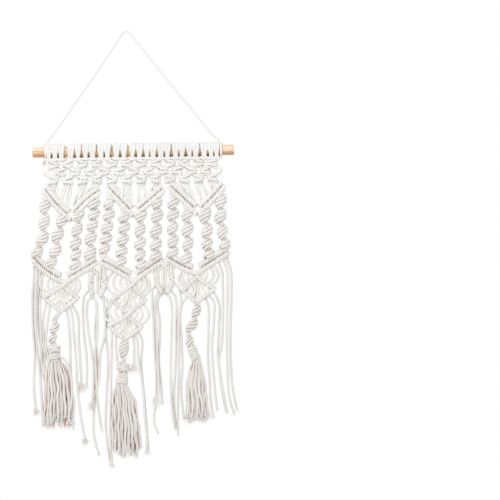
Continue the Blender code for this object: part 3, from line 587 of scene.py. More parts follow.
def larks_heads():
    """Each cord folded over the dowel: both ends over its front, and the fold across their feet."""
    heads = Bundle()
    edges = head_edges()
    drops = (END_HALF, *FOOT_HALVES, END_HALF)
    for h in range(HEADS):
        left, right = edges[h], edges[h + 1]
        feet = left + drops[h] + HEAD_FOOT_CORD, right - drops[h + 1] - HEAD_FOOT_CORD
        left += CROWN_HALVES.get(left, 0.0)
        right -= CROWN_HALVES.get(right, 0.0)
        x = (left + right) / 2
        z = dowel_z(x) + rng.uniform(-0.3, 0.3)
        crown = min((right - left) / 4 + 0.1, 2.6)
        lean = rng.uniform(-0.25, 0.25)
        for side in (-1, 1):
            a = side * crown
            b = feet[side > 0] - x
            foot = net_entry(2 * h + (side > 0))
            route = [
                spot(x + 0.9 * b, z - 9.7, -7.6),
                spot(x + 1.0 * b, z - 8.0, -7.6),
                spot(x + 1.0 * b, z - 5.0, -7.9),
                spot(x + b + 0.5 * (a - b), z - 1.5, -8.5),
                spot(x + b + 0.9 * (a - b), z + 2.0, -8.2),
            ]
            route += round_dowel(x + a + lean, z, HEAD_OUT,
                                 (48, 28, 8, -14, -38, -64, -90, -116, -142, -165))
            route += [
                spot(x + 0.9 * a, z - 9.3, -1.6),
                spot(x + 0.8 * a, z - 10.2, -4.6),
                spot(*(0.5 * (foot[[0, 2]] + (x + 0.9 * a, z - 12.0))), -5.0),
                foot,
            ]
            heads.tube(route, [(0, HEAD_FOOT_CORD), (0.1, HEAD_FOOT_CORD), (0.22, HEAD_CORD),
                               (0.8, HEAD_CORD), (1, HEAD_FOOT_CORD)])
        inside = [spot(x, z - 8.5, -8.0), spot(x, z - 4.0, -8.7), spot(x, z, -8.7)]
        heads.tube(inside + round_dowel(x + lean, z, FILL_OUT, (60, 30, 0, -30, -60, -90)), HEAD_FILL)
        if right == edges[h + 1] and h + 1 < HEADS and drops[h + 1] < FILLED:
            heads.tube(round_dowel(right, z, FILL_OUT, (96, 80, 60, 30, 0, -30, -60, -90)), HEAD_FILL)
        sag = 9.9 + rng.uniform(0.2, 0.8)
        fold = ((-4.7, 9.4, -5.4), (-3.4, 9.7, -7.8), (0.0, sag, -8.8), (3.4, 9.7, -7.8), (4.7, 9.4, -5.4))
        heads.tube([spot(x + aside, z - down, y) for aside, down, y in fold], FOLD_CORD)
    heads.make("larks_head_row", bright, "larks_heads", shade=0.3)


# how far a row of knots lies under the dowel's middle, and how many knots fewer it has than 12
NET_ROWS = [dict(drop=15.9, fewer=0), dict(drop=25.7, fewer=1), dict(drop=35.3, fewer=0)]
KNOT_HALF = 5.0                 # half the height of a square knot
NET_CORD = 2.05
KNOT_STRANDS = (-4.6, -1.7, 1.7, 4.6)


def knot_x(row, k):
    """Middle of a knot of a row, between the heads' own uneven places and even ones."""
    edges = head_edges()
    first = 2 * k + row["fewer"]
    even = NET_LEFT + (first + 1) * HEAD_PITCH
    return 0.6 * even + 0.4 * (edges[first] + edges[min(first + 2, HEADS)]) / 2


def net_entry(strand):
    """Where a strand goes into the first row of knots."""
    row = NET_ROWS[0]
    x = knot_x(row, strand // 4)
    return spot(x + KNOT_STRANDS[strand % 4], dowel_z(x) - row["drop"] + KNOT_HALF + 0.5)


def square_knot(routes, x, z, strands, mirrored):
    """Adds a knot to the routes of its four strands: two that wrap and two that they hold."""
    m = -1 if mirrored else 1
    left, inner_left, inner_right, right = strands[::m]
    j = rng.uniform(-0.5, 0.5, 12)
    wide = rng.uniform(0.94, 1.08)

    def put(strand, points):
        routes[strand] += [spot(x + m * u * wide, z + v * KNOT_HALF + j[k % 12], SHEET_Y + w)
                           for k, (u, v, w) in enumerate(points)]

    put(left, [(-4.6, 1.0, 0.0), (-5.4, 0.90, -1.6), (-3.7, 0.76, -3.4), (-0.5, 0.54, -4.0),
               (2.8, 0.36, -3.7), (5.2, 0.18, -1.8), (5.6, 0.0, 0.0), (5.2, -0.18, -1.8),
               (2.8, -0.30, -3.6), (-0.5, -0.46, -4.0), (-3.7, -0.66, -3.3), (-5.4, -0.86, -1.0),
               (-4.4, -1.05, 0.0)])
    put(right, [(4.6, 1.0, -0.6), (5.4, 0.88, -2.4), (5.1, 0.66, -3.0), (4.0, 0.44, -1.0),
                (2.6, 0.14, 2.6), (-0.5, 0.12, 3.4), (-3.6, 0.10, 2.4), (-5.4, 0.18, -0.8),
                (-5.4, 0.0, -3.0), (-4.6, -0.16, -3.2), (-4.2, -0.44, -1.0), (-2.6, -0.5, 2.6),
                (0.5, -0.55, 3.4), (3.6, -0.7, 2.0), (4.4, -1.05, 0.0)])
    put(inner_left, [(-1.8, 1.0, -1.6), (-1.7, 0.4, -2.2), (-1.7, -0.4, -2.2), (-1.7, -1.05, -1.2)])
    put(inner_right, [(1.8, 1.0, -1.6), (1.7, 0.4, -2.2), (1.7, -0.4, -2.2), (1.7, -1.05, -1.2)])


def square_knots():
    """Rows of alternating square knots. Returns where each strand leaves them."""
    routes = [[net_entry(s) + (0, 0, 1.2)] for s in range(2 * HEADS)]
    for r, row in enumerate(NET_ROWS):
        for k in range(HEADS // 2 - row["fewer"]):
            x = knot_x(row, k)
            first = 4 * k + 2 * row["fewer"]
            z = dowel_z(x) - row["drop"] + rng.uniform(-0.5, 0.5)
            square_knot(routes, x, z, range(first, first + 4), (r + k) % 2)
        if row["fewer"]:
            for side, pair in ((-1, (1, 0)), (1, (2 * HEADS - 2, 2 * HEADS - 1))):
                for out, strand in enumerate(pair):
                    x = (NET_LEFT if side < 0 else NET_RIGHT) + side * (0.4 + 2.0 * out)
                    z = dowel_z(x) - row["drop"]
                    routes[strand] += [spot(x, z + 2.5, SHEET_Y - 1.0 + 2.0 * out),
                                       spot(x - 0.4 * side, z - 2.5, SHEET_Y - 1.0 + 2.0 * out)]
    net = Bundle()
    for route in routes:
        net.tube(route, NET_CORD)
    net.make("square_knot_net", bright, "macrame_panel", shade=0.3)
    return [route[-1] for route in routes]


# ---------------------------------------------------------------- bars of clove hitches
ROLL_PITCH = 3.1                # from one wrap of a row to the next
ROLL_OUT = 1.95                 # how far from the row's middle its wraps run
ROLL_CORD = 1.85
ROLL_SQUARE = 0.66              # below 1 their way round is squarer than a circle
GROOVE_PAINTED_SHADE = 0.15               # painted shade of the cord in the groove between two rows
GROOVE_SHORT = 6.5              # and how far from the V that ends
DOT_HALF = 0.75                 # half the length of a painted dark dot between two wraps
DOT_PAINTED_SHADES = (0.2, 0.7, 1.0, 1.0)  # how much painted shade one of them has
NOTCH = 2                       # how many wraps an upper row stops short of the V
UPPER_LEAN = 0.5                # how far a wrap leans along its row, in the chevrons
LOWER_LEAN = 0.8
ENTRY_PITCH = 1 / 9.4           # from one strand into an arm to the next, against its length
ENTRY_CORD = 1.65               # a strand from the net on its way into an arm


class Line:
    """A smooth line. Places on it are lengths from its start."""

    def __init__(self, points):
        self.path = smooth(points, 0.5)
        self.ways = directions(self.path)
        self.across = np.cross(FRONT, self.ways)
        self.measure()

    def measure(self):
        self.along = lengths(self.path)
        self.length = self.along[-1]

    def at(self, place):
        """The line's middle, its direction and the one across it at that place, also past an end."""
        inside = min(max(place, 0.0), self.length)
        middle, way, across = (np.array([np.interp(inside, self.along, a[:, k]) for k in range(3)])
                               for a in (self.path, self.ways, self.across))
        return middle + way * (place - inside), way, across


class Bar(Line):
    """A row of hitches along a line, moved up by the offset, with upwards as what is across it."""

    def __init__(self, points, offset=0.0, front=0.0):
        super().__init__([spot(x, z, SHEET_Y - front) for x, z in points])
        self.across *= np.where(self.across[:, 2] < 0, -1.0, 1.0)[:, None]
        self.path = self.path + offset * self.across
        self.measure()

    def place_of(self, x):
        """The place at x, or at the end nearest to it."""
        return float(self.along[np.argmin(np.abs(self.path[:, 0] - x))])

    def uneven(self):
        """How many wraps its roll has, and how far each one is off its even place and size."""
        turns = max(3, round(self.length / ROLL_PITCH))
        return turns, rng.normal(0.0, 0.2, turns + 2), rng.uniform(-0.12, 0.16, turns + 2)

    def roll(self, bundle, out=ROLL_OUT, radius=ROLL_CORD, lean=0.5, wraps=None, ahead=0.0, fewer=0):
        """Its hitches: cords wound over the core, one wrap beside the next, a little uneven.

        They start a way ahead, and stop the fewer wraps short of the bar's end."""
        turns, shifts, swells = wraps or self.uneven()
        points = []
        for k in range(8 * (turns - fewer) + 1):
            angle = math.pi * k / 4
            t = k / 8
            shift, swell = (np.interp(t, np.arange(turns + 2), a) for a in (shifts, swells))
            p, _, up = self.at(self.length * t / turns + shift + ahead - lean * math.cos(angle))
            high, near = (math.copysign(abs(c) ** ROLL_SQUARE, c)
                          for c in (math.cos(angle), math.sin(angle)))
            points.append(p + (out + swell) * (up * high + FRONT * near))
        bundle.tube(points, radius)
        reach = self.length * (turns - fewer) / turns
        core = [self.at(t)[0] for t in np.linspace(-1.0, reach + (0.0 if fewer else 1.0), 8)]
        bundle.tube(core, out + 0.2, step=2.0, sides=6)


def hitched_arm(bundle, points, lean):
    """Two rows of hitches that lie together along an arm. Returns the upper one."""
    upper, lower = Bar(points, ROW_HALF), Bar(points, -ROW_HALF)
    wraps = upper.uneven()
    upper.roll(bundle, lean=lean, wraps=wraps, fewer=NOTCH)
    lower.roll(bundle, lean=lean, wraps=wraps, ahead=2 * lean + ROLL_PITCH / 2)
    behind_groove(bundle, upper, wraps, lean)
    return upper


def chevron_arms(chevron):
    """Both arms of a chevron, each from its outer end to the V."""
    return ((chevron["left"], chevron["down"], chevron["v"]),
            (chevron["right"], chevron["up"], chevron["v"]))


def behind_groove(bundle, row, wraps, lean):
    """The cords that pass to the row below, and short tubes between the wraps, with painted shade that
    shows as dark dots.
    """
    turns, shifts, _ = wraps

    def seam(place, front):
        p, _, up = row.at(place)
        return p - up * ROW_HALF + FRONT * front

    places = np.linspace(0.0, row.length - GROOVE_SHORT, 8)
    bundle.tube([seam(t, -0.9) for t in places], 1.1, painted_dim=GROOVE_PAINTED_SHADE)
    bundle.tube([seam(t, -2.6) for t in places], 1.7)
    for k in range(1, turns - NOTCH):
        place = row.length * k / turns + shifts[k] + lean
        bundle.tube([seam(place + t, 0.3) for t in (-DOT_HALF, 0.0, DOT_HALF)], rng.uniform(1.1, 1.5),
                    step=0.5, painted_dim=float(rng.choice(DOT_PAINTED_SHADES)))


def upper_chevrons(ends):
    """The strands from the net, tied in two rows along each arm."""
    made = Bundle()
    for c, chevron in enumerate(UPPER_CHEVRONS):
        for a, points in enumerate(chevron_arms(chevron)):
            row = hitched_arm(made, points, UPPER_LEAN)
            for j in range(8):
                start = ends[16 * c + (15 - j if a else j)]
                odd = 1.0 if j % 2 else -1.0
                p, _, up = row.at(row.length * (j + 0.25 - 0.24 * odd) * ENTRY_PITCH)
                near = rng.uniform(0.2, 1.0) * odd
                entry, seat = p + up * 3.6 + FRONT * near, p + up * 1.2 - FRONT
                drop = start[2] - entry[2]
                bow = (rng.uniform(-0.8, 0.8) + 0.5 * odd) * min(1.0, drop / 14.0)
                route = [start, start + (0.1 * (entry[0] - start[0]), -0.4, -0.2 * drop),
                         (start + entry) / 2 + (bow, rng.uniform(-1.2, 0.3), 0.0),
                         entry + (0.2 * (start[0] - entry[0]), -0.2, 0.22 * drop), entry, seat]
                made.tube(route, ENTRY_CORD)
    made.make("upper_chevrons", bright, shade=0.25)


def place_on(chevron, x):
    """A chevron's middle line at x."""
    arms = chevron_arms(chevron)
    bar = Bar(arms[0] if x < chevron["v"][0] else arms[1])
    return bar.at(bar.place_of(x))[0]


# ---------------------------------------------------------------- spiral sinnets
SPIRAL_STARTS = 4               # cords that show side by side on a sinnet
SPIRAL_LEAD = 17.0              # length in which one of them goes round once
NECK = 3.5                      # half the width of a sinnet between two beads
BEAD_WIDE = 7.9                 # and in the middle of a bead
BEAD_DEEP = 0.78                # its depth against its width
BEAD_LEAN = 2.2                 # how much higher than its middle a bead's right side sits
SPIRAL_CORD = 0.31              # radius of one of its cords, against half its width there
SPIRAL_THIN, SPIRAL_THICK = 1.4, 2.25    # the least and the most that it may be

# the middle of each bead that a spiral shows from the front, from the top down
BEADS = [
    [(-101.3, -216.7), (-102.5, -238), (-104.5, -259.5), (-111.3, -276.7)],
    [(-80, -235.4), (-85.6, -254.2), (-88.1, -274.2), (-93.8, -289.2)],
    [(-58.8, -227.9), (-61.3, -247.9), (-63.1, -264.5), (-62.5, -278.5), (-63.8, -291)],
    [(-40, -215.5), (-40, -228.5), (-41.9, -242.5), (-44.4, -258.5), (-45, -277.5)],
    [(-21.3, -215.4), (-21.3, -229.2), (-23.8, -245.4), (-25, -259.2), (-26.9, -272)],
    [(-2.5, -231.7), (-2.5, -245.4), (-3.8, -260.4), (-5.6, -275.4), (-6.3, -288)],
    [(18.8, -229), (17.5, -248.5), (17.5, -265), (17.5, -279.2), (18.8, -292)],
    [(38.8, -214.2), (38.8, -230.4), (37.5, -249.4), (37.5, -266), (37.5, -281)],
    [(58.8, -214.4), (58.8, -229.2), (58.1, -245.4), (58.8, -262), (58.1, -276.7)],
    [(76.3, -229.2), (76.9, -247.5), (77.5, -266), (75.6, -283.5)],
    [(98.8, -228.9), (101.3, -249.4), (101.3, -265.4), (103.8, -278.9)],
    [(118.8, -211.9), (118.1, -230.7), (120.6, -250.4), (123.8, -267.9)],
]


def spiral(bundle, points, beads, neck=NECK):
    """Half knots all tied the same way: cords that twist along the line and swell into beads.

    Each bead is its middle, half its width and half its height."""
    line = Line(points)
    length = line.length
    grid = np.linspace(-6.0, length + 6.0, 400)
    halves = np.full(len(grid), neck)
    for middle, wide, high in beads:
        place = line.along[np.argmin(np.linalg.norm(line.path - middle, axis=1))]
        share = np.clip(np.abs(grid - place) / high, 0.0, 1.0)
        halves = np.maximum(halves, wide * (1.0 - share ** 2.3) ** 0.5)
    steps = max(10, round(16 * length / SPIRAL_LEAD))
    for start in range(SPIRAL_STARTS):
        route, sizes = [], []
        for k in range(steps + 1):
            s = length * k / steps
            angle = 2 * math.pi * (s / SPIRAL_LEAD + start / SPIRAL_STARTS)
            half = np.interp(s + BEAD_LEAN * math.cos(angle), grid, halves)
            cord = min(max(SPIRAL_CORD * half, SPIRAL_THIN), SPIRAL_THICK)
            p, _, across = line.at(s)
            route.append(p + (half - cord) * (unit(across) * math.cos(angle)
                                              + BEAD_DEEP * FRONT * math.sin(angle)))
            sizes.append(cord)
        gone = lengths(route)
        bundle.tube(route, list(zip(gone / gone[-1], sizes)))
    shares = np.linspace(0.0, 1.0, max(6, round(length / 1.5)))
    inner = [0.8 * (np.interp(length * share, grid, halves) - 1.6) for share in shares]
    bundle.tube([line.at(s)[0] for s in np.linspace(0.0, length, max(6, round(length / 4)))],
                list(zip(shares, inner)), step=1.5, sides=10, groove=1.0, squash=BEAD_DEEP)


def gather(bundle, chevron, at_x, into, side, spread=5.5):
    """Four strands between a chevron's row and the end of a sinnet under (-1) or over (1) it."""
    for dx in (-1.0, -0.4, 0.3, 1.0):
        root = place_on(chevron, at_x + dx * spread) + (0, 0, side * ROW_HALF * 1.3)
        middle = (root + into) / 2 + (0.18 * dx * spread, -0.8, 0)
        bundle.tube([root, middle, into + (0.25 * dx * spread, 0, -side * 1.0)], TIGHT)


def spiral_sinnets():
    """A sinnet under every four strands of the upper chevrons, down to the lower ones."""
    made = Bundle()
    for i, beads in enumerate(BEADS):
        upper, lower = UPPER_CHEVRONS[i // 4], LOWER_CHEVRONS[i // 4]
        top = place_on(upper, beads[0][0]) - (0, 0, 2 * ROW_HALF - 0.5)
        foot = place_on(lower, beads[-1][0]) + (0, 0, 2 * ROW_HALF - 1.0)
        spots = [spot(x, z) for x, z in beads]
        if top[2] - spots[0][2] < 2.0:
            top = top + (0, 0, 2.0)
        if spots[-1][2] - foot[2] < 2.0:
            foot = foot - (0, 0, 2.0)
        gaps = [np.linalg.norm(b - a) for a, b in zip(spots, spots[1:])]
        highs = [(gaps[max(k - 1, 0)] + gaps[min(k, len(gaps) - 1)]) / 4 - 0.7
                 for k in range(len(spots))]
        spiral(made, [top, *spots, foot],
               [(middle, BEAD_WIDE * rng.uniform(0.94, 1.06), high)
                for middle, high in zip(spots, highs)])
        gather(made, upper, top[0], spots[0] + (0, 0, 5.0), -1)
        gather(made, lower, foot[0], spots[-1] - (0, 0, 5.0), 1, spread=4.0)
    made.make("spiral_sinnets", cotton, shade=0.28)


# ---------------------------------------------------------------- lower chevrons and diamonds
# over is where a diamond's left roof bar comes from, out of a bar to the right of its top, and
# loops are the shares of its roof bars where cords come in from above
DIAMONDS = [
    dict(top=(-79, -317.5), left=(-103, -331.5), right=(-60.5, -333), bottom=(-81.5, -350),
         over=(-69, -309.5), loops=(0.24, 0.44, 0.66, 0.84)),
    dict(top=(7.5, -316), left=(-17.5, -335), right=(24, -336), bottom=(1.5, -352.5),
         over=(17, -307.5), loops=(0.22, 0.42, 0.64, 0.84)),
    dict(top=(1.5, -354.5), left=(-21.5, -367.5), right=(19.5, -370), bottom=(-2.5, -385),
         over=(9, -347.5), loops=(0.14, 0.36, 0.62, 0.84)),
    dict(top=(88, -307), left=(71, -323.5), right=(110.5, -321.5), bottom=(88, -339.5),
         over=(89.5, -305.5), loops=(0.22, 0.42, 0.64, 0.84)),
]
DIAMONDS[2]["above"] = DIAMONDS[1]
SINGLE_OUT = 1.5                # the wraps of a diamond's single rows
SINGLE_CORD = 1.78
OVER = 1.4                      # how far in front of the other bars the crossing ones run
LOOP_BOW = 0.32                 # how far a loop swings out, against its drop
# cords inside a diamond: their shares of the roof bar and of the floor bar, and how far they bow
FAN = ((0.32, 0.20, 0.36), (0.52, 0.44, 0.28), (0.71, 0.68, 0.18), (0.90, 0.88, 0.05))
FAN_CORD = 1.6
# between the chevrons: two columns of hitches, and two strands between them
COLUMNS = [
    dict(left=[(-42.5, -303), (-44, -311), (-43.5, -320), (-42, -329)],
         right=[(-28.5, -303), (-26.3, -311.5), (-27.5, -320), (-33.5, -329.5)],
         top=(-34.2, -297.5), bottom=(-34.5, -327)),
    dict(left=[(38, -303), (39.1, -312), (40.4, -319.5), (45, -325.5)],
         right=[(55.7, -301), (57.5, -309), (56.5, -317), (50.5, -325)],
         top=(48, -292), bottom=(47.7, -322)),
]
COLUMN_OUT = 2.3                # the wraps of a column
COLUMN_LEAN = 0.9


def lower_chevrons():
    """The three lower chevrons, each arm of them two rows of hitches."""
    made = Bundle()
    for chevron in LOWER_CHEVRONS:
        for points in chevron_arms(chevron):
            hitched_arm(made, points, LOWER_LEAN)
    made.make("lower_chevrons", cotton, shade=0.3)


def bar_over(x, above=None):
    """Where a cord at x leaves the diamond above it, or else the lower chevron there."""
    if above:
        corner = "left" if x < above["bottom"][0] else "right"
        bar = Bar((above[corner], above["bottom"]))
        return bar.at(bar.place_of(x))[0] - (0, 0, 2.0)
    chevron = min(LOWER_CHEVRONS, key=lambda one: max(one["left"][0] - x, x - one["right"][0]))
    return place_on(chevron, x) - (0, 0, 2 * ROW_HALF - 1.0)


def loop(bundle, start, entry, end, out):
    """A cord that leaves a bar, swings out and comes in to the bar below."""
    drop = start[2] - entry[2]
    bow = out * LOOP_BOW * drop * rng.uniform(0.8, 1.15)
    deep = rng.uniform(-1.6, 0.4)
    bundle.tube([start + (0, 0.5, 1.5), start + (0.55 * bow, deep / 2, -0.15 * drop),
                 (start + entry) / 2 + (bow, deep, 0.0),
                 entry + (0.6 * bow, deep / 2, 0.14 * drop), entry, end], CORD)


def diamonds():
    """Diamonds of single rows, with loops of cord over them and a fan inside, and the columns."""
    made = Bundle()
    for diamond in DIAMONDS:
        for corner, out in (("left", -1), ("right", 1)):
            # the left roof bar and the right floor bar run on over the crossings
            front = OVER if out < 0 else 0.0
            roof = Bar((diamond[corner], diamond["top"]), front=front)
            floor = Bar((diamond[corner], diamond["bottom"]), front=OVER - front)
            run = roof
            if out < 0:
                run = Bar((diamond[corner], diamond["top"], diamond["over"]), front=front)
            run.roll(made, out=SINGLE_OUT, radius=SINGLE_CORD)
            floor.roll(made, out=SINGLE_OUT, radius=SINGLE_CORD)
            for share in diamond["loops"]:
                end, _, up = roof.at(roof.length * share)
                entry = end + up * 2.6
                start = bar_over(entry[0] + out * rng.uniform(0.0, 1.5), diamond.get("above"))
                if start[2] - entry[2] > 3.0:
                    loop(made, start, entry, end, out)
            for high, low, bow in FAN:
                start = roof.at(roof.length * high)[0]
                end = floor.at(floor.length * low)[0]
                fall = start[2] - end[2]
                shift = -out * bow * fall
                deep = rng.uniform(-1.4, 0.8)
                made.tube([start, start + (0.5 * shift, deep, -0.25 * fall),
                           (start + end) / 2 + (shift, deep, 0.0),
                           end + (0.5 * shift, deep, 0.25 * fall), end], FAN_CORD)
    for pair in COLUMNS:
        top, bottom = spot(*pair["top"]), spot(*pair["bottom"])
        for corner, out in (("left", -1), ("right", 1)):
            bar = Bar(pair[corner], front=0.6)
            bar.roll(made, out=COLUMN_OUT, lean=COLUMN_LEAN)
            head = bar.at(0.0)[0]
            for dx in (-2.5, 0.0, 2.5):
                start = bar_over(head[0] + dx)
                made.tube([start + (0, 0, 1.5), (start + head) / 2 + (0.9 * dx + 0.8 * out, -0.6, 0.0),
                           head + (0.4 * dx, 0.4, 0.0)], TIGHT)
            made.tube([top + (2.6 * out, 0.0, 0.0), top + (1.9 * out, -0.8, -6.0),
                       (top + bottom) / 2 + (1.5 * out, -0.8, 0.0), bottom + (1.5 * out, 0.0, 0.0)], TIGHT)
            made.tube([top + (-5.5 * out, 0.6, 4.0), top + (-2.5 * out, -1.6 - 0.8 * out, 1.5),
                       top + (2.5 * out, -1.6 - 0.8 * out, -2.5), top + (6.0 * out, 0.4, -5.0)], CORD)
    made.make("knotted_diamonds", cotton, shade=0.55)


# ---------------------------------------------------------------- loose fringe
# each strand as the places it goes through, from its bar down to its end
FRINGES = {
    "fringe_left": [
        [(-115, -295.5), (-117, -335.5), (-116, -373), (-114, -398), (-115, -445.5), (-112.5, -474)],
        [(-111, -297.5), (-113.5, -335.5), (-112.5, -373), (-110, -404), (-107.5, -429), (-104, -491.5)],
        [(-107.5, -300), (-110, -335.5), (-109, -373), (-105.5, -398), (-101, -423), (-102.5, -485.5)],
        [(-104.5, -302), (-107.5, -340), (-106, -385.5), (-104, -429), (-92.5, -460.5)],
    ],
    "fringe_left_bar": [
        [(-100, -340.5), (-102.5, -350.5), (-102.5, -385.5), (-100, -410.5)],
        [(-95.5, -345), (-97.5, -360.5), (-99, -398), (-96, -408)],
    ],
    "fringe_left_middle": [
        [(-75, -343), (-72.5, -358), (-70, -385.5), (-69.5, -410.5), (-67.5, -460.5), (-66, -495.5)],
        [(-71, -340.5), (-67.5, -353), (-65.5, -373), (-62.5, -410.5), (-59, -460.5), (-51, -510.5)],
        [(-67.5, -338), (-61, -353), (-59, -385.5), (-57.5, -410.5), (-55.5, -441.5)],
    ],
    "fringe_middle_left": [
        [(-45.5, -321), (-52, -330), (-53.5, -340.5), (-53, -373), (-49, -410.5), (-49.5, -443)],
        [(-43.5, -332), (-47.6, -337), (-48.8, -345), (-47, -373), (-41.5, -410.5), (-41, -448),
         (-43, -466.5)],
        [(-41.5, -332), (-37.6, -336.5), (-36.8, -343), (-38.8, -373), (-36, -410.5), (-38, -448),
         (-39, -510.5), (-34, -528)],
        [(-33.5, -330), (-28.3, -336), (-27.5, -343), (-27.5, -385.5), (-31, -398), (-34, -435.5),
         (-39.5, -454)],
        [(-31, -328.5), (-25, -333.5), (-22.8, -340.5), (-25, -373), (-22.5, -410.5), (-24, -448),
         (-25, -498), (-22.5, -523), (-19, -541.5)],
        [(-40.5, -331), (-36.8, -338), (-36, -350), (-36, -380), (-38.5, -400.5), (-37.5, -429),
         (-35, -466.5), (-30, -498)],
    ],
    "fringe_middle": [
        [(-17.5, -373), (-18, -391.5), (-19, -460.5), (-19.5, -510.5), (-17, -543)],
        [(-12.5, -376.5), (-12.5, -391.5), (-11, -410.5)],
    ],
    "fringe_middle_right": [
        [(9, -378), (10, -391.5), (9.5, -418)],
        [(12.5, -375.5), (14.5, -388), (15.5, -410.5), (20, -435.5), (24, -485.5), (26, -510.5),
         (25, -525.5)],
        [(16, -373), (20, -385.5), (19, -410.5), (23, -460.5), (27, -510.5), (28, -526.5)],
    ],
    "fringe_right_middle": [
        [(36.5, -317.5), (33.2, -322), (32.5, -330), (34.5, -360.5), (35.5, -391.5), (37.5, -423),
         (37.5, -459)],
        [(41, -325), (37, -331), (36.3, -338), (38, -373), (39.5, -410.5), (39.5, -458), (35.5, -476.5),
         (36, -491.5), (40, -500.5)],
        [(46, -327), (41.5, -331.5), (39.8, -338), (42, -360.5), (42.5, -379), (41, -410.5),
         (44, -441.5), (45, -464)],
        [(49.5, -327), (54.5, -331.5), (56.3, -338), (57, -373), (56, -410.5), (57, -460.5),
         (60.5, -494)],
        [(55, -322.5), (61, -329.5), (62.8, -338), (62.5, -360.5), (62, -410.5), (60, -460.5),
         (62.5, -495.5)],
        [(59, -312), (65.5, -319.5), (68, -328), (66, -360.5), (66, -410.5), (65, -460.5), (65, -503)],
    ],
    "fringe_right_bar": [
        [(76, -329), (70, -341.5), (69.5, -385.5), (70.5, -416.5), (69, -448), (72.5, -483)],
    ],
    "fringe_right": [
        [(100, -333), (102.5, -341.5), (103, -373), (102.5, -410.5), (104.5, -435.5), (107.5, -473),
         (109.5, -481.5)],
        [(104, -329), (109, -335.5), (110, -358), (107.5, -391.5), (109, -423), (112.5, -460.5),
         (114, -473)],
        [(109, -323), (115, -335.5), (116, -373), (115, -404), (117, -423), (120, -448), (125, -474)],
    ],
    "fringe_right_edge": [
        [(117, -290.5), (119.5, -298), (121, -323), (121, -360.5), (119.5, -391.5), (116, -413),
         (119, -435.5), (126, -474)],
        [(122.5, -286.5), (125.5, -295.5), (127, -323), (126, -373), (127, -423), (130, -460.5),
         (135, -476.5)],
        [(127, -284), (130.5, -295.5), (132, -323), (130.5, -373), (131, -410.5), (133, -441.5),
         (139, -473)],
    ],
}
# strands whose ends have come undone further, with the length of the fluff
BRUSHES = {("fringe_left_middle", 2): 13.0, ("fringe_middle_left", 1): 11.0,
           ("fringe_middle_right", 0): 12.0, ("fringe_right_middle", 0): 14.0,
           ("fringe_left_middle", 1): 9.0, ("fringe_left", 0): 8.0}
LAYERS = (0.0, 1.4, -1.4, 0.7, -0.7, 1.1)    # how far each strand of a group hangs to the front
FRINGE_CORD = 1.72
ROOT = 5.0                      # how far up into its bar a strand starts


def fringe():
    """Each group of loose strands, with frayed ends."""
    for name, strands in FRINGES.items():
        made = Bundle()
        for k, points in enumerate(strands):
            y = SHEET_Y - LAYERS[k]
            route = [spot(*points[0]) + (0, 0, ROOT), spot(*points[0])]
            route += [spot(x, z, y + rng.uniform(-0.4, 0.4)) for x, z in points[1:]]
            path = made.tube(route, [(0, TIGHT), (0.06, FRINGE_CORD), (0.95, FRINGE_CORD),
                                     (1, 0.75 * FRINGE_CORD)])
            way = path[-1] - path[-6]
            if (name, k) in BRUSHES:
                made.fray(path[-1], way, fibres=110, length=BRUSHES[name, k], thick=0.2, room=1.5)
            made.fray(path[-1], way, fibres=30, length=6.5, spread=0.36)
        made.make("loose_" + name, painted_darker_cotton, name, shade=0.8)


# ---------------------------------------------------------------- tassels
# rings of cord over a round knot: lean to the side, and place up or down their own axis
KNOT_RINGS = ((0.75, -1.9), (0.75, 1.5), (-0.6, -2.2), (-0.6, 1.3), (0.1, 0.2))
KNOT_CORD = 1.75
KNOT_DEEP = 0.85                # a round knot's depth against its width


def knot_ball(bundle, middle, wide, high, tilt):
    """A round knot: cords that cross over a ball."""
    axis = np.array((math.sin(tilt), 0.0, math.cos(tilt)))
    inner = high - 0.9 * KNOT_CORD
    ups = np.sin(np.linspace(-0.45 * math.pi, 0.45 * math.pi, 13))
    bundle.tube([middle - axis * inner * u for u in ups],
                [((u - ups[0]) / (ups[-1] - ups[0]), (wide - 1.1 * KNOT_CORD) * math.sqrt(1 - u * u))
                 for u in ups], step=1.0, sides=16, groove=1.0, squash=KNOT_DEEP)
    for lean, place in KNOT_RINGS:
        a = np.array((math.sin(tilt + lean), 0.0, math.cos(tilt + lean)))
        side = np.array((a[2], 0.0, -a[0]))
        reach = math.sqrt(1 - (place / high) ** 2) * (
            (wide - KNOT_CORD) * math.cos(lean) ** 2 + (high - KNOT_CORD) * math.sin(lean) ** 2)
        bundle.tube([middle + a * (place + 0.5 * math.sin(2 * t))
                     + reach * (side * math.cos(t) + KNOT_DEEP * FRONT * math.sin(t))
                     for t in np.linspace(0, 2.05 * math.pi, 26) + rng.uniform(0, 6)], KNOT_CORD)


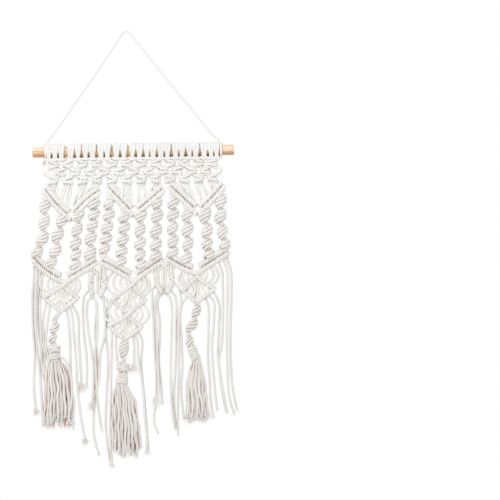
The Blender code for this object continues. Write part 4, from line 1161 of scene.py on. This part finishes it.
# line is the stalk's, with its beads as x, z, half the width and half the height. knob is a round
# knot, given the same way and with its tilt. wrap runs down the neck. arch is a cord that leaves
# the neck on its own. skirt has x, z and half the width from the top down, and uneven is how far
# its cords' ends lie from its foot
TASSELS = [
    dict(name="tassel_left", line=[(-82, -350.5), (-88, -358), (-89.4, -364), (-89, -371),
                                   (-91, -377.5), (-91.5, -383.8), (-89.5, -391)],
         beads=[(-88.3, -358, 3.9, 3.6), (-89.2, -370.6, 6.7, 5.6), (-91.5, -383.5, 6.1, 5.2)],
         knob=(-89.3, -395.8, 8.4, 7.8, 0.5),
         wrap=[(-90, -403.5), (-89, -409.5)], wrap_half=8.4,
         arch=[(-86, -405), (-79, -407.5), (-72.5, -416), (-69, -428), (-67.5, -446),
               (-69.5, -474)],
         skirt=[(-88.5, -412.5, 9), (-86.5, -423, 14), (-84.5, -440, 17),
                (-83.5, -460, 19), (-83.8, -486, 19.5)], uneven=9),
    dict(name="tassel_middle", line=[(-2.5, -385.5), (-2.5, -395.5), (-2.6, -408), (-3.2, -415)],
         beads=[(-2.5, -394.8, 6.9, 13)],
         knob=(-3.4, -419.5, 8.9, 8.6, 0.35),
         wrap=[(-5, -434.6), (-5.6, -439.8)], wrap_half=8.2, stem=9,
         skirt=[(-5.6, -442, 8.6), (-5, -450, 11.8), (-2.6, -461, 14.9),
                (-0.9, -485, 17.3), (0.8, -521, 18.7)], uneven=11),
    dict(name="tassel_right", line=[(88, -340), (88.2, -349), (85.8, -358), (82.3, -367.5),
                                    (78, -377.5), (79, -386), (83, -396)],
         beads=[(88, -349.2, 6.2, 8.4), (82.5, -367.5, 6.9, 8.6), (80, -388.5, 5.9, 8.5)],
         wrap=[(82, -395.5), (87.5, -409.5)], wrap_half=6.4,
         skirt=[(87.8, -411, 6.4), (87, -423, 9.6), (87, -436, 12),
                (87.8, -455, 13.6), (89.5, -482, 15)], uneven=5),
]
SKIRT_CORD = 1.75
SKIRT_RADII = [(0, 1.0), (0.1, 1.1), (0.35, SKIRT_CORD), (0.93, SKIRT_CORD), (1, 1.2)]
# layers of a skirt from front to back: how many cords, how far out, and how much painted shade darkens
# them
SKIRT_LAYERS = ((9, 1.0, 0.0), (8, 0.7, 0.1), (9, 0.3, 0.85), (11, -0.8, 0.05))
SKIRT_WAVE = 0.9                # how far a cord wanders to each side of its line
PAINTED_DIM_REACH = 0.8                 # how far across the skirt the cords with the most painted shade reach
SKIRT_DEEP = 0.42               # a skirt's depth against its width
WRAP_CORD = 1.7
WRAP_PITCH = 3.1                # from one turn of the wrap to the next
NECK_CORD = 1.5
NECK_IN = 2.8                   # how far inside its wrap the neck's cords run
NECK_CORE = 3.2                 # and its core's surface lies
NECK_DEEP = 0.8                 # a neck's depth against its width
STALK_NECK = 3.2                # half the width of a stalk between two beads


def skirt(made, one, root):
    """The tassel's cords, fanned out in layers under its wrap."""
    xs, zs, halves = (np.array(column) for column in zip(*one["skirt"]))
    for count, face, painted_dim in SKIRT_LAYERS:
        for k in range(count):
            share = 2 * k / (count - 1) - 1 + rng.uniform(-0.04, 0.04)
            if painted_dim > 0.5:
                share *= PAINTED_DIM_REACH
            deep = face * math.sqrt(max(0.0, 1 - share * share))
            end = zs[-1] + one["uneven"] * rng.uniform(-1.0, 1.0)
            route = [root + (2.5 * share, -2.0 * deep, 2.0)]
            layer = (0.7 if k % 2 else -0.7) + rng.uniform(-0.6, 0.6)
            phase, swing = rng.uniform(0, 2 * math.pi), rng.uniform(30.0, 46.0)
            for z in np.linspace(zs[0], end, max(5, round((zs[0] - end) / 9.0))):
                x, half = (np.interp(-z, -zs, a) for a in (xs, halves))
                wave = SKIRT_WAVE * min(1.0, (zs[0] - z) / 20.0)
                sway = math.sin(2 * math.pi * z / swing + phase) + rng.uniform(-0.4, 0.4)
                route.append(spot(x + (half - SKIRT_CORD) * share + wave * sway, z,
                                  SHEET_Y - SKIRT_DEEP * (half - SKIRT_CORD) * deep + layer
                                  + rng.uniform(-0.4, 0.4)))
            path = made.tube(route, SKIRT_RADII, painted_dim=painted_dim)
            made.fray(path[-1], path[-1] - path[-6], fibres=26)


def wrap(bundle, a, b, half, stem):
    """The cord bound round a tassel's neck from a to b, and the neck with a stem over it."""
    turns = max(2, round(np.linalg.norm(b - a) / WRAP_PITCH))
    way = unit(b - a)
    across = np.cross(FRONT, way)

    def round_neck(t):
        return across * math.cos(t) + NECK_DEEP * FRONT * math.sin(t)

    bundle.tube([a + (b - a) * k / (10 * turns) + (half - WRAP_CORD) * round_neck(2 * math.pi * k / 10)
                 for k in range(10 * turns + 1)], WRAP_CORD)
    bundle.tube([a - way * stem, a, b, b + way * 3], half - NECK_CORE, sides=12, groove=1.0,
                squash=NECK_DEEP)
    for k in range(12):
        beside = (half - NECK_IN) * round_neck(2 * math.pi * k / 12)
        bundle.tube([a - way * stem + 0.85 * beside, a + beside, b + beside], NECK_CORD)


def tassels():
    """Each tassel: its knotted stalk, the wrap round its neck and its skirt."""
    for one in TASSELS:
        made = Bundle()
        spiral(made, [spot(x, z) for x, z in one["line"]],
               [(spot(x, z), wide, high) for x, z, wide, high in one["beads"]], neck=STALK_NECK)
        if "knob" in one:
            x, z, wide, high, tilt = one["knob"]
            knot_ball(made, spot(x, z), wide, high, tilt)
        a, b = (spot(x, z) for x, z in one["wrap"])
        wrap(made, a, b, one["wrap_half"], one.get("stem", 2.0))
        skirt(made, one, (a + b) / 2)
        if "arch" in one:
            made.tube([spot(x, z, SHEET_Y - 3.0) for x, z in one["arch"]], SKIRT_CORD)
        made.make("cotton_" + one["name"], painted_darker_tuft, one["name"], shade=0.5)


make_dowel()
make_hanger()
larks_heads()
upper_chevrons(square_knots())
spiral_sinnets()
lower_chevrons()
diamonds()
fringe()
tassels()
paint_crevice_shade()
